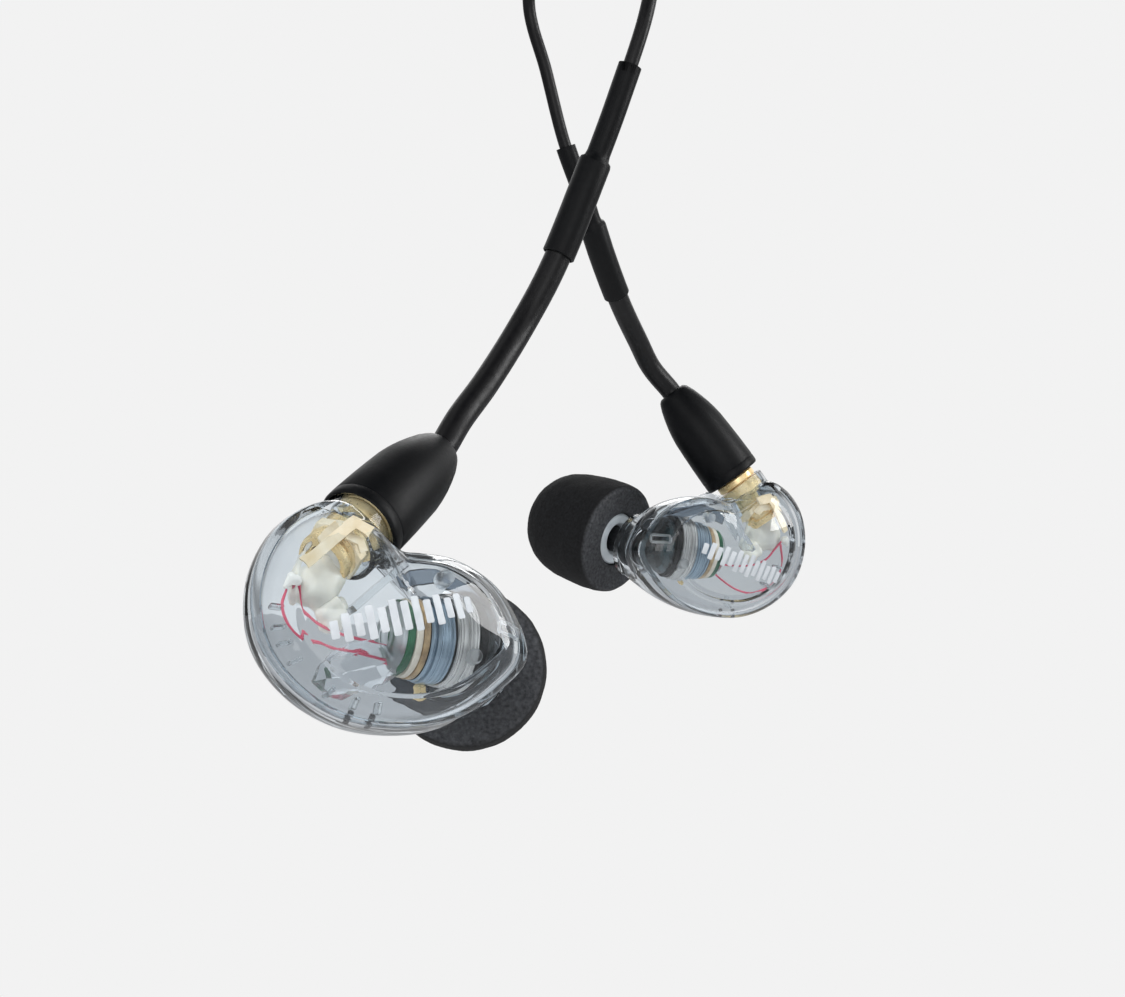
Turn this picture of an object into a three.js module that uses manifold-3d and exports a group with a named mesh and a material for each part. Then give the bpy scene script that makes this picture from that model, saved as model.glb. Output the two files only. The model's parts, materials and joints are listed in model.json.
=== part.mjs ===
// A pair of wired in ear monitors: two clear housings, each with one dynamic driver, a foam ear tip
// and a snap-in coaxial connector, on one cable with a slider, a splitter and a 3.5 mm stereo plug.
// Millimetres, +Z up. +Y is the direction in which the two monitors are staggered in depth.
import * as THREE from "three";
import { mergeVertices } from "three/addons/utils/BufferGeometryUtils.js";
import Module from "manifold-3d";

const wasm = await Module();
wasm.setup();

// Driving dimensions of one monitor, in its own frame: +x to the pointed end, +y inward to the ear,
// +z up. The front of the face is at y = 0.
const WALL = 0.8;
const FACE_BULGE = 1.4;
const CREASE_DEPTH = 0.1;
const CREASE_INSET = 2.3;
const PARTING_DEPTH = 2.2;
const PARTING_INSET = 0.35;
const SEAM_GAP = 0.06;
const PIVOT_DEPTH = 4.0;
const BACK_DEPTH_SHARE = 0.85;
const BACK_BULGE_SHARE = 0.13;
const OUTLINE_STEPS = 36;

// The connector axis leaves the housing through the collar, the nozzle axis through the inner shell.
const COLLAR_POINT = new THREE.Vector3(-2.2, 4.6, 7.25);
const COLLAR_AXIS = new THREE.Vector3(0.655, 0.3, 0.695).normalize();
const COLLAR_RADIUS = 2.95;
const COLLAR_LENGTH = 3.0;
const COLLAR_BORE = 2.45;
const NOZZLE_POINT = new THREE.Vector3(7.6, 7.6, -1.7);
const NOZZLE_AXIS = direction(64, 6);
const BOSS_RADIUS = 3.7;
const BOSS_HEIGHT = 0.8;
const BOSS_BORE = 2.15;
const DRIVER_POINT = new THREE.Vector3(0.3, 3.75, -1.1);
const DRIVER_AXIS = direction(4, 0);
const CHAMBER_START = 6.08;

const JACK_RADIUS = 2.0;
const JACK_FLANGE_RADIUS = 2.35;
const JACK_BORE = 1.5;
const JACK_DEPTH = 5.2;
const SPIGOT_RADIUS = 1.45;
const PLUG_FLANGE_RADIUS = 2.33;
const PLUG_END = 4.4;
// The left boot is pushed up over its collar; the right one sits back and shows its gold plug.
const BOOT_START = { left: -0.4, right: 1.0 };
const BOOT_MOUTH_RADIUS = 3.05;
const BOOT_MOUTH_DEPTH = 1.4;
const BOOT_ROOM = 0.12;
const BOOT_SEAT_RADIUS = 3.55;
const BOOT_SEAT_DEPTH = 0.6;
const CABLE_START = PLUG_END + 0.9;
const BOOT_LENGTH = 12.0;
const BOOT_WIDE = 3.25;
const BOOT_NARROW = 3.15;
const BOOT_WIDE_AXIS = new THREE.Vector3(0.74, -0.35, -0.6);

const NOZZLE_RADIUS = 1.45;
const NOZZLE_LENGTH = 7.2;
const TIP_START = 2.9;
const TIP_RADIUS = 6.5;
const TIP_LENGTH = 11.2;
const CORE_FLANGE_RADIUS = 3.0;
const CORE_RADIUS = 2.2;
const CORE_BORE = 1.52;

const THICK_RADIUS = 1.15;
const THIN_RADIUS = 0.65;
const MAIN_RADIUS = 1.3;
const SLEEVE_LENGTH = 16.8;
const SLEEVE_STEP = 9.0;
const SLEEVE_WALL = 0.16;
const SLEEVE_FIT = 0.12;
const FIT = 0.06;

// Where the monitors and the cable fittings sit.
const LEFT = { side: "left", mirror: 1, at: [-12.8, 0, -9.1], yaw: 27, tilt: -17, roll: 0 };
const RIGHT = { side: "right", mirror: -1, at: [17.2, 65, -5.2], yaw: 25, tilt: 0, roll: 10 };
const TWIN_SPACING = 1.8;
const TWIN_AT = new THREE.Vector2(2.2, 35);
const TWIN_BOTTOM = 67.5;
const SLIDER_BOTTOM = 68.5;
const SLIDER_HEIGHT = 7;
const SPLITTER_BOTTOM = 85;
const SPLITTER_HEIGHT = 8.5;
const ARCH_RADIUS = 9;
const HANDLE_LENGTH = 14;
const RELIEF_LENGTH = 6;
const HANDLE_RADIUS = 3.9;
const PIN_RADIUS = 1.75;
const PIN_LENGTH = 14;

// The housing's outline seen from outside, x and z, from the pointed end over the top: the straight
// stretch between the notch and the lobe is the collar's mouth.
const OUTLINE = [
  [10.8, -2.2], [9.8, 1.1], [7.6, 3.6], [4.4, 5.05], [1.6, 5.2], [-0.1, 5.2],
  [-2.2, 6.8], [-4.6, 8.5], [-7.4, 7.8], [-10.0, 5.4], [-11.35, 1.4], [-10.65, -2.8],
  [-8.0, -6.0], [-4.0, -8.0], [1.0, -8.3], [5.2, -7.2], [8.7, -4.8],
];

const CLEAR = { color: 0xdfe8ee, roughness: 0.05, metalness: 0, transparent: true, opacity: 0.35 };
const GOLD = { color: 0xd9b45a, roughness: 0.25, metalness: 1 };
const SILVER = { color: 0xb9bcc0, roughness: 0.3, metalness: 1 };
const IRON = { color: 0x6b6e73, roughness: 0.45, metalness: 1 };
const BLACK_PLASTIC = { color: 0x16171a, roughness: 0.45, metalness: 0 };
const BLACK_RUBBER = { color: 0x121315, roughness: 0.6, metalness: 0 };
const CABLE_BLACK = { color: 0x0f1012, roughness: 0.5, metalness: 0 };
const FOAM = { color: 0x26282c, roughness: 0.95, metalness: 0 };
const GREY_CORE = { color: 0xb4bac4, roughness: 0.5, metalness: 0 };
const WHITE_PLASTIC = { color: 0xe8e6df, roughness: 0.5, metalness: 0 };
const SMOKE = { color: 0x3c5058, roughness: 0.1, metalness: 0, transparent: true, opacity: 0.6 };
const BOARD_GREEN = { color: 0x2f6b4a, roughness: 0.5, metalness: 0 };
const WIRE_RED = { color: 0xc2405a, roughness: 0.4, metalness: 0 };

function direction(azimuth, elevation) {
  const a = THREE.MathUtils.degToRad(azimuth);
  const e = THREE.MathUtils.degToRad(elevation);
  return new THREE.Vector3(Math.cos(e) * Math.cos(a), Math.cos(e) * Math.sin(a), Math.sin(e));
}

// A named mesh with its own material.
function piece(name, geometry, look) {
  const mesh = new THREE.Mesh(geometry, new THREE.MeshStandardMaterial(look));
  mesh.name = name;
  return mesh;
}

// A solid of revolution about +Z. The profile lists [radius, height] and runs up its outside.
function turned(profile, sides = 18) {
  const points = profile.map(([r, h]) => new THREE.Vector2(r, h));
  return new THREE.LatheGeometry(points, sides).rotateX(Math.PI / 2);
}

// A ring of revolution about +Z, closed on itself.
function turnedRing(profile, sides = 18) {
  return turned([...profile, profile[0]], sides);
}

function tube(outer, inner, from, to, sides = 18) {
  return turnedRing([[inner, from], [outer, from], [outer, to], [inner, to]], sides);
}

function rod(radius, from, to, sides = 18) {
  return turned([[0, from], [radius, from], [radius, to], [0, to]], sides);
}

// Turns a geometry built about +Z onto an axis through a point.
function onAxis(geometry, point, axis) {
  const turn = new THREE.Quaternion().setFromUnitVectors(new THREE.Vector3(0, 0, 1), axis);
  return geometry.applyQuaternion(turn).translate(point.x, point.y, point.z);
}

function signedVolume(positions, faces) {
  const [a, b, c] = [new THREE.Vector3(), new THREE.Vector3(), new THREE.Vector3()];
  let sum = 0;
  for (let i = 0; i < faces.length; i += 3) {
    a.fromArray(positions, 3 * faces[i]);
    b.fromArray(positions, 3 * faces[i + 1]);
    c.fromArray(positions, 3 * faces[i + 2]);
    sum += a.dot(b.cross(c)) / 6;
  }
  return sum;
}

// A closed skin over rings of equal length. The first and last ring are capped, or joined to each
// other when loop is true.
function skin(rings, loop = false) {
  const count = rings[0].length;
  const positions = rings.flat().flatMap((p) => [p.x, p.y, p.z]);
  const faces = [];
  const bands = loop ? rings.length : rings.length - 1;
  for (let r = 0; r < bands; r++) {
    const low = r * count;
    const high = ((r + 1) % rings.length) * count;
    for (let i = 0; i < count; i++) {
      const j = (i + 1) % count;
      faces.push(low + i, low + j, high + j, low + i, high + j, high + i);
    }
  }
  if (!loop) {
    for (const [ring, flip] of [[0, true], [rings.length - 1, false]]) {
      const centre = new THREE.Vector3();
      rings[ring].forEach((p) => centre.addScaledVector(p, 1 / count));
      positions.push(centre.x, centre.y, centre.z);
      const hub = positions.length / 3 - 1;
      for (let i = 0; i < count; i++) {
        const [p, q] = [ring * count + i, ring * count + ((i + 1) % count)];
        faces.push(hub, ...(flip ? [q, p] : [p, q]));
      }
    }
  }
  if (signedVolume(positions, faces) < 0) faces.reverse();
  const geometry = new THREE.BufferGeometry();
  geometry.setAttribute("position", new THREE.Float32BufferAttribute(positions, 3));
  geometry.setIndex(faces);
  return geometry;
}

function toSolid(geometry) {
  const bare = geometry.clone();
  bare.deleteAttribute("normal");
  bare.deleteAttribute("uv");
  const merged = mergeVertices(bare, 1e-4);
  return new wasm.Manifold(
    new wasm.Mesh({
      numProp: 3,
      vertProperties: merged.attributes.position.array,
      triVerts: new Uint32Array(merged.index.array),
    }),
  );
}

function toGeometry(solid) {
  const mesh = solid.getMesh();
  const geometry = new THREE.BufferGeometry();
  geometry.setAttribute("position", new THREE.BufferAttribute(mesh.vertProperties, 3));
  geometry.setIndex(new THREE.BufferAttribute(mesh.triVerts, 1));
  return geometry;
}

function cut(geometry, ...tools) {
  return toGeometry(tools.reduce((rest, tool) => rest.subtract(toSolid(tool)), toSolid(geometry)));
}

function hull(...geometries) {
  return toGeometry(wasm.Manifold.hull(geometries.map(toSolid)));
}

function join(...geometries) {
  return toGeometry(geometries.map(toSolid).reduce((all, one) => all.add(one)));
}

// A round cord along a curve.
function cord(curve, radius, sides, steps) {
  const section = new THREE.Shape().absarc(0, 0, radius, 0, 2 * Math.PI);
  const options = { steps, curveSegments: sides / 2, extrudePath: curve, bevelEnabled: false };
  return new THREE.ExtrudeGeometry(section, options);
}

// The stretch of a curve between two arc lengths, as a curve of its own.
function stretch(curve, from, to, count) {
  const whole = curve.getLength();
  const points = [];
  for (let i = 0; i <= count; i++) {
    points.push(curve.getPointAt(Math.min(1, (from + ((to - from) * i) / count) / whole)));
  }
  return new THREE.CatmullRomCurve3(points);
}

// Evenly spaced lengths from one to another.
function stations(from, to, bands) {
  return Array.from({ length: bands + 1 }, (_, i) => from + ((to - from) * i) / bands);
}

// Rings of a chosen radius round a curve, given as [arc length, radius].
function ringsAlong(curve, stations, sides) {
  const whole = curve.getLength();
  const side = new THREE.Vector3(0, 1, 0);
  return stations.map(([length, radius]) => {
    const along = curve.getTangentAt(length / whole);
    const across = new THREE.Vector3().crossVectors(along, side).normalize();
    const up = new THREE.Vector3().crossVectors(across, along);
    const centre = curve.getPointAt(length / whole);
    return Array.from({ length: sides }, (_, i) => {
      const turn = (2 * Math.PI * i) / sides;
      return centre.clone()
        .addScaledVector(across, radius * Math.cos(turn))
        .addScaledVector(up, radius * Math.sin(turn));
    });
  });
}

const outlineCurve = new THREE.CatmullRomCurve3(
  OUTLINE.map(([x, z]) => new THREE.Vector3(x, 0, z)), true, "centripetal",
);
const outline = outlineCurve.getSpacedPoints(OUTLINE_STEPS).slice(0, OUTLINE_STEPS);
const OUTLINE_REACH = 9;

// The outline drawn in by an inset, at a depth.
function outlineRing(inset, depth) {
  const scale = 1 - inset / OUTLINE_REACH;
  return outline.map((p) => new THREE.Vector3(p.x * scale, depth, p.z * scale));
}

// Insets and depths of the outer shell's skin from its rim, over the side band and the crease, to
// the middle of the domed face.
function faceRings(wall) {
  const steps = [
    [PARTING_INSET, PARTING_DEPTH],
    [0.8, 1.2],
    [CREASE_INSET, CREASE_DEPTH],
  ];
  for (const share of [0.3, 0.6, 0.85]) {
    const inset = CREASE_INSET + (OUTLINE_REACH - CREASE_INSET) * share;
    steps.push([inset, CREASE_DEPTH - FACE_BULGE * Math.sin((share * Math.PI) / 2)]);
  }
  return steps.map(([inset, depth], i) => {
    const drawn = inset + wall * (1 - inset / OUTLINE_REACH);
    return outlineRing(drawn, i ? depth + wall : depth);
  });
}

function outerShell(collarCut) {
  const outside = faceRings(0).reverse();
  const shell = skin([...outside, ...faceRings(WALL)]);
  return cut(shell, ...collarCut);
}

// A circle about the nozzle axis whose points face the outline's points.
function bossRing(radius, height) {
  const centre = NOZZLE_POINT.clone().addScaledVector(NOZZLE_AXIS, height);
  return outline.map((p) => {
    const out = new THREE.Vector3(p.x, 0, p.z);
    out.addScaledVector(NOZZLE_AXIS, -out.dot(NOZZLE_AXIS)).normalize();
    return centre.clone().addScaledVector(out, radius);
  });
}

// The inner shell's skin runs from the parting line back and round to the nozzle boss.
function backRings(wall, bossRadius) {
  const start = outlineRing(PARTING_INSET + wall, PARTING_DEPTH + SEAM_GAP);
  const widest = outlineRing(wall - PARTING_INSET, 0);
  const end = bossRing(bossRadius, -wall);
  const shares = [0, 0.2, 0.4, 0.6, 0.8, 1];
  return shares.map((share) =>
    start.map((from, i) => {
      const to = end[i];
      const spread = from.distanceTo(to);
      const first = widest[i].clone();
      first.y = from.y + BACK_DEPTH_SHARE * (to.y - from.y);
      const second = to.clone().lerp(from, 0.5);
      second.y = to.y + BACK_BULGE_SHARE * spread;
      return new THREE.CubicBezierCurve3(from, first, second, to).getPoint(share);
    }),
  );
}

function innerShell(collar, collarCut) {
  const outside = backRings(0, BOSS_RADIUS);
  const inside = backRings(WALL, BOSS_BORE).reverse();
  const lip = [bossRing(BOSS_RADIUS - 0.1, BOSS_HEIGHT), bossRing(BOSS_BORE, BOSS_HEIGHT)];
  const shell = skin([...outside, ...lip, ...inside], true);
  return cut(join(shell, collar), ...collarCut);
}

// Places along the connector axis are measured from the collar's mouth, outward positive.
function onConnector(geometry) {
  return onAxis(geometry, COLLAR_POINT, COLLAR_AXIS);
}

function connectorPoint(distance) {
  return COLLAR_POINT.clone().addScaledVector(COLLAR_AXIS, distance);
}

function housingShells(side) {
  const mouthClear = onConnector(rod(COLLAR_RADIUS + 1, 0, 4));
  const bore = onConnector(rod(COLLAR_BORE, -JACK_DEPTH - 0.4, 4));
  const collarSpace = onConnector(rod(COLLAR_RADIUS + SEAM_GAP, -COLLAR_LENGTH - 0.3, 4));
  const bootSeat = onConnector(tube(BOOT_SEAT_RADIUS, COLLAR_RADIUS + SEAM_GAP / 2, -BOOT_SEAT_DEPTH, 4));
  const collar = onConnector(tube(COLLAR_RADIUS, COLLAR_BORE, -COLLAR_LENGTH, -0.02));
  return [
    piece(side + "_outer_shell", outerShell([collarSpace, bootSeat]), CLEAR),
    piece(side + "_inner_shell", innerShell(collar, [mouthClear, bootSeat, bore]), CLEAR),
  ];
}

function jack(side) {
  const barrel = turnedRing([
    [JACK_BORE, -JACK_DEPTH], [JACK_RADIUS, -JACK_DEPTH], [JACK_RADIUS, -1.4],
    [JACK_FLANGE_RADIUS, -1.4], [JACK_FLANGE_RADIUS, -0.1], [JACK_BORE, -0.1],
  ]);
  const insulator = tube(JACK_BORE - 0.04, 0.5, -JACK_DEPTH + 0.1, -JACK_DEPTH + 1.3, 16);
  const contact = turned([
    [0, -6.1], [0.42, -6.1], [0.42, -2.9], [0.3, -2.9], [0.3, -4.1], [0, -4.1],
  ], 12);
  return [
    piece(side + "_jack_barrel", onConnector(barrel), GOLD),
    piece(side + "_jack_insulator", onConnector(insulator), WHITE_PLASTIC),
    piece(side + "_jack_contact", onConnector(contact), GOLD),
  ];
}

function driver(side) {
  const place = (geometry) => onAxis(geometry, DRIVER_POINT, DRIVER_AXIS);
  const can = turnedRing([
    [0.8, 0.6], [3.0, 0.6], [3.25, 0.9], [3.25, 3.4], [2.85, 3.4], [2.85, 1.1], [0.8, 1.1],
  ]);
  const magnet = tube(1.9, 0.8, 1.16, 2.7, 16);
  const frameRing = turnedRing([
    [2.85, 3.5], [3.5, 3.5], [3.5, 5.25], [3.18, 5.25], [3.18, 4.1], [2.85, 4.1],
  ]);
  // The dome and surround carry the coil former, which hangs in the magnet gap.
  const diaphragm = turned([
    [0, 4.9], [2.05, 4.55], [2.05, 2.3], [2.25, 2.3], [2.25, 4.45],
    [3.08, 4.5], [3.08, 4.64], [2.3, 4.7], [0, 5.05],
  ], 16);
  const board = tube(2.75, 0.6, 0, 0.5, 16);
  const gasket = tube(3.3, 2.9, 5.32, 6.0);
  return {
    fixed: [
      piece(side + "_driver_can", place(can), SILVER),
      piece(side + "_magnet", place(magnet), IRON),
      piece(side + "_driver_frame", place(frameRing), SILVER),
      piece(side + "_terminal_board", place(board), BOARD_GREEN),
      piece(side + "_gasket", place(gasket), BLACK_RUBBER),
    ],
    diaphragm: piece(side + "_diaphragm", place(diaphragm), WHITE_PLASTIC),
  };
}

// The front chamber turns the sound path from the driver's axis to the nozzle's. It is an elbow:
// a hull round its mouth and its exit, hollowed by a smaller one and cut square behind the mouth.
function frontChamber(side) {
  const exitAt = -1.0;
  const elbow = (mouthRadius, exitRadius, over) => hull(
    onAxis(rod(mouthRadius, CHAMBER_START - over, CHAMBER_START + 0.5), DRIVER_POINT, DRIVER_AXIS),
    onAxis(rod(exitRadius, exitAt - 0.3, exitAt + over), NOZZLE_POINT, NOZZLE_AXIS),
  );
  const behind = onAxis(rod(6, 0, CHAMBER_START), DRIVER_POINT, DRIVER_AXIS);
  return piece(
    side + "_front_chamber", cut(elbow(3.1, 1.8, 0), elbow(2.7, 1.35, 0.2), behind), SMOKE,
  );
}

function wires(side) {
  const loops = {
    live_wire: [
      [-6.15, 3.3, 2.1], [-7.1, 3.1, 0.4], [-6.0, 3.0, -2.1], [-3.4, 3.2, -2.8], [0.1, 3.5, -2.0],
    ],
    return_wire: [
      [-7.1, 4.4, 3.5], [-8.5, 4.6, 0.9], [-7.6, 4.4, -3.0], [-4.2, 4.2, -4.4], [0.05, 4.3, -3.1],
    ],
  };
  return Object.entries(loops).map(([name, points]) => {
    const curve = new THREE.CatmullRomCurve3(points.map((p) => new THREE.Vector3(...p)));
    return piece(side + "_" + name, cord(curve, 0.16, 6, 10), WIRE_RED);
  });
}

function nozzle(side) {
  const place = (geometry) => onAxis(geometry, NOZZLE_POINT, NOZZLE_AXIS);
  const spout = turnedRing([
    [1.1, -0.6], [2.05, -0.6], [2.05, 1.3], [NOZZLE_RADIUS, 1.5], [NOZZLE_RADIUS, NOZZLE_LENGTH - 1.2],
    [NOZZLE_RADIUS + 0.02, NOZZLE_LENGTH], [1.1, NOZZLE_LENGTH],
  ]);
  const screen = rod(1.05, NOZZLE_LENGTH - 0.6, NOZZLE_LENGTH - 0.3, 16);
  return [
    piece(side + "_nozzle", place(spout), BLACK_PLASTIC),
    piece(side + "_nozzle_mesh", place(screen), SILVER),
  ];
}

// The foam tip is a bullet on a flanged tube that pushes onto the nozzle.
function tip(side) {
  const place = (geometry) => onAxis(geometry, NOZZLE_POINT, NOZZLE_AXIS);
  const recess = 0.15;
  const flange = recess + 0.8;
  const core = turnedRing([
    [CORE_BORE, recess + 0.5], [1.95, recess], [CORE_FLANGE_RADIUS, recess],
    [CORE_FLANGE_RADIUS, flange], [CORE_RADIUS, flange],
    [CORE_RADIUS, TIP_LENGTH - 1.6], [CORE_BORE, TIP_LENGTH - 1.6],
  ]);
  const foamBore = CORE_RADIUS + FIT;
  const bullet = [
    [foamBore, flange + FIT], [CORE_FLANGE_RADIUS + FIT, flange + FIT],
    [CORE_FLANGE_RADIUS + FIT, 0], [5.8, 0], [6.25, 0.3], [TIP_RADIUS, 2.6], [6.4, 5.0],
  ];
  const domeStart = 6.2;
  for (const turn of [25, 50, 72]) {
    const angle = THREE.MathUtils.degToRad(turn);
    bullet.push([
      2.6 + 3.6 * Math.cos(angle),
      domeStart + (TIP_LENGTH - domeStart) * Math.sin(angle),
    ]);
  }
  bullet.push([foamBore, TIP_LENGTH - 0.2]);
  const foam = turnedRing(bullet, 24);
  return [
    piece(side + "_tip_core", place(core.translate(0, 0, TIP_START)), GREY_CORE),
    piece(side + "_tip_foam", place(foam.translate(0, 0, TIP_START)), FOAM),
  ];
}

function snapRing(side) {
  const gap = THREE.MathUtils.degToRad(20);
  const ring = new THREE.Shape();
  ring.absarc(0, 0, 1.46, gap, 2 * Math.PI - gap);
  ring.absarc(0, 0, 1.3, 2 * Math.PI - gap, gap, true);
  const settings = { depth: 0.36, curveSegments: 12, bevelEnabled: false };
  const geometry = new THREE.ExtrudeGeometry(ring, settings);
  return piece(side + "_snap_ring", onConnector(geometry.translate(0, 0, -1.78)), GOLD);
}

// The cable's half of the connector, and the boot moulded over it.
function cablePlug(side) {
  const shell = turnedRing([
    [0.75, -2.4], [SPIGOT_RADIUS, -2.4], [SPIGOT_RADIUS, -1.85], [1.24, -1.85], [1.24, -1.35],
    [SPIGOT_RADIUS, -1.35], [SPIGOT_RADIUS, 0.05], [PLUG_FLANGE_RADIUS, 0.05],
    [PLUG_FLANGE_RADIUS, 0.9], [1.9, 0.9], [1.9, PLUG_END], [0.75, PLUG_END],
  ]);
  const insulator = tube(0.7, 0.3, -2.0, 3.0, 12);
  const pin = rod(0.24, -3.5, 3.6, 8);
  return [
    piece(side + "_plug_shell", onConnector(shell), GOLD),
    piece(side + "_plug_insulator", onConnector(insulator), WHITE_PLASTIC),
    piece(side + "_plug_pin", onConnector(pin), GOLD),
  ];
}

function boot(side) {
  const wide = BOOT_WIDE_AXIS.clone();
  wide.addScaledVector(COLLAR_AXIS, -wide.dot(COLLAR_AXIS)).normalize();
  const narrow = new THREE.Vector3().crossVectors(COLLAR_AXIS, wide);
  const ring = (distance, wideRadius, narrowRadius) =>
    Array.from({ length: 20 }, (_, i) => {
      const turn = (2 * Math.PI * i) / 20;
      return connectorPoint(distance)
        .addScaledVector(wide, wideRadius * Math.cos(turn))
        .addScaledVector(narrow, narrowRadius * Math.sin(turn));
    });
  const start = BOOT_START[side];
  const end = start + BOOT_LENGTH;
  const mouthEnd = start + BOOT_MOUTH_DEPTH;
  const swell = [
    [start, 1.03], [start + 3.5, 1.02], [end - 5.5, 0.98],
    [end - 3.2, 0.86], [end - 1.2, 0.7], [end - 0.3, 0.57], [end, 0.46],
  ];
  const outside = swell.map(([at, share]) => ring(at, BOOT_WIDE * share, BOOT_NARROW * share));
  const bore = THICK_RADIUS + BOOT_ROOM;
  const plugBore = 2.05;
  const inside = [
    ring(end, bore * 1.08, bore * 1.08), ring(end - 1.5, bore, bore), ring(PLUG_END + 0.5, bore, bore),
    ring(PLUG_END + 0.3, plugBore, plugBore), ring(mouthEnd, plugBore, plugBore),
    ring(mouthEnd - 0.2, BOOT_MOUTH_RADIUS, BOOT_MOUTH_RADIUS),
    ring(start, BOOT_MOUTH_RADIUS, BOOT_MOUTH_RADIUS),
  ];
  return piece(side + "_boot", skin([...outside, ...inside], true), BLACK_RUBBER);
}

// One monitor. The pieces that stay on the cable share its placement but belong to the cable.
function monitor({ side, mirror, at, yaw, tilt, roll }) {
  const placed = new THREE.Group();
  placed.position.set(...at);
  placed.rotation.set(...[tilt, roll, yaw].map(THREE.MathUtils.degToRad), "YXZ");
  const own = new THREE.Group();
  own.scale.x = mirror;
  placed.add(own);
  const frame = new THREE.Group();
  frame.position.y = -PIVOT_DEPTH;
  own.add(frame);
  const drive = driver(side);
  frame.add(
    ...housingShells(side), ...jack(side), ...drive.fixed, drive.diaphragm, frontChamber(side),
    ...wires(side), ...nozzle(side), ...tip(side), snapRing(side), ...cablePlug(side), boot(side),
  );
  // Markers at the joints' places; each one's +Z lies on its joint's axis.
  const markers = {
    connector: [COLLAR_POINT, COLLAR_AXIS],
    nozzle: [NOZZLE_POINT, NOZZLE_AXIS],
    driver: [DRIVER_POINT, DRIVER_AXIS],
  };
  for (const [name, [point, axis]] of Object.entries(markers)) {
    const marker = new THREE.Object3D();
    marker.name = side + "_" + name + "_axis";
    marker.position.copy(point);
    marker.quaternion.setFromUnitVectors(new THREE.Vector3(0, 0, 1), axis);
    frame.add(marker);
  }
  placed.updateMatrixWorld(true);
  return { placed, frame };
}

// One branch of the cable: thick formable part, stepped shrink sleeve, thin cable to the splitter.
function branch(side, frame, waypoints, lane, sleeveStart) {
  const bootEnd = BOOT_START[side] + BOOT_LENGTH;
  const inBoot = [CABLE_START, bootEnd - 2, bootEnd - 0.2, bootEnd + 0.4].map((at) =>
    frame.localToWorld(connectorPoint(at)));
  const lift = (z) => new THREE.Vector3(TWIN_AT.x + lane, TWIN_AT.y, z);
  const straight = [
    TWIN_BOTTOM - 3, TWIN_BOTTOM, TWIN_BOTTOM + 3, SPLITTER_BOTTOM - 5, SPLITTER_BOTTOM + 1.2,
  ].map(lift);
  const points = [...inBoot, ...waypoints.map((p) => new THREE.Vector3(...p)), ...straight];
  const path = new THREE.CatmullRomCurve3(points, false, "centripetal");
  const stepAt = sleeveStart + SLEEVE_STEP;
  const sleeveEnd = sleeveStart + SLEEVE_LENGTH;
  const thick = cord(stretch(path, 0, stepAt - 0.6, 24), THICK_RADIUS, 12, 20);
  const thin = cord(stretch(path, stepAt + 0.3, path.getLength(), 60), THIN_RADIUS, 8, 38);
  const wall = SLEEVE_FIT + SLEEVE_WALL;
  const wide = stations(sleeveStart, stepAt - 0.5, 3);
  const slim = stations(stepAt + 0.5, sleeveEnd, 4);
  const sleeve = skin(ringsAlong(path, [
    ...wide.map((at) => [at, THICK_RADIUS + wall]),
    ...slim.map((at) => [at, THIN_RADIUS + wall + 0.1]),
    ...slim.reverse().map((at) => [at, THIN_RADIUS + SLEEVE_FIT]),
    ...wide.reverse().map((at) => [at, THICK_RADIUS + SLEEVE_FIT]),
  ], 12), true);
  return [
    piece(side + "_formable_cable", thick, CABLE_BLACK),
    piece(side + "_shrink_sleeve", sleeve, BLACK_RUBBER),
    piece(side + "_thin_cable", thin, CABLE_BLACK),
  ];
}

// An oval block about +Z through the twin cables, with rounded edges.
function ovalBlock(halfX, halfY, bottom, height, edge, topShare = 1) {
  const ring = (z, inset, share) =>
    Array.from({ length: 20 }, (_, i) => {
      const turn = (2 * Math.PI * i) / 20;
      return new THREE.Vector3(
        TWIN_AT.x + (halfX * share - inset) * Math.cos(turn),
        TWIN_AT.y + (halfY - inset) * Math.sin(turn), z,
      );
    });
  const top = bottom + height;
  return skin([
    ring(bottom, edge, 1), ring(bottom + edge, 0, 1),
    ring(top - edge, 0, topShare), ring(top, edge, topShare),
  ]);
}

function laneHole(lane, radius, bottom, top) {
  return rod(radius, bottom, top, 12).translate(TWIN_AT.x + lane, TWIN_AT.y, 0);
}

function sliderAndSplitter() {
  const lanes = [-TWIN_SPACING / 2, TWIN_SPACING / 2];
  const through = lanes.map((lane) =>
    laneHole(lane, THIN_RADIUS + 0.15, SLIDER_BOTTOM - 1, SLIDER_BOTTOM + SLIDER_HEIGHT + 1));
  const slider = cut(ovalBlock(2.4, 1.5, SLIDER_BOTTOM, SLIDER_HEIGHT, 0.4), ...through);
  const inlets = lanes.map((lane) =>
    laneHole(lane, THIN_RADIUS + 0.08, SPLITTER_BOTTOM - 1, SPLITTER_BOTTOM + 1.6));
  const top = SPLITTER_BOTTOM + SPLITTER_HEIGHT;
  const outlet = laneHole(0, MAIN_RADIUS + 0.1, top - 2, top + 1);
  const block = ovalBlock(2.7, 2.0, SPLITTER_BOTTOM, SPLITTER_HEIGHT, 0.5, 0.8);
  return [
    piece("cable_slider", slider, BLACK_RUBBER),
    piece("splitter", cut(block, ...inlets, outlet), BLACK_PLASTIC),
  ];
}

const PLUG_AT = new THREE.Vector2(TWIN_AT.x, TWIN_AT.y + 2 * ARCH_RADIUS);
const ARCH_BOTTOM = SPLITTER_BOTTOM + SPLITTER_HEIGHT + 1;
const SHOULDER = ARCH_BOTTOM - 0.4 - RELIEF_LENGTH - HANDLE_LENGTH;

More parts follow.
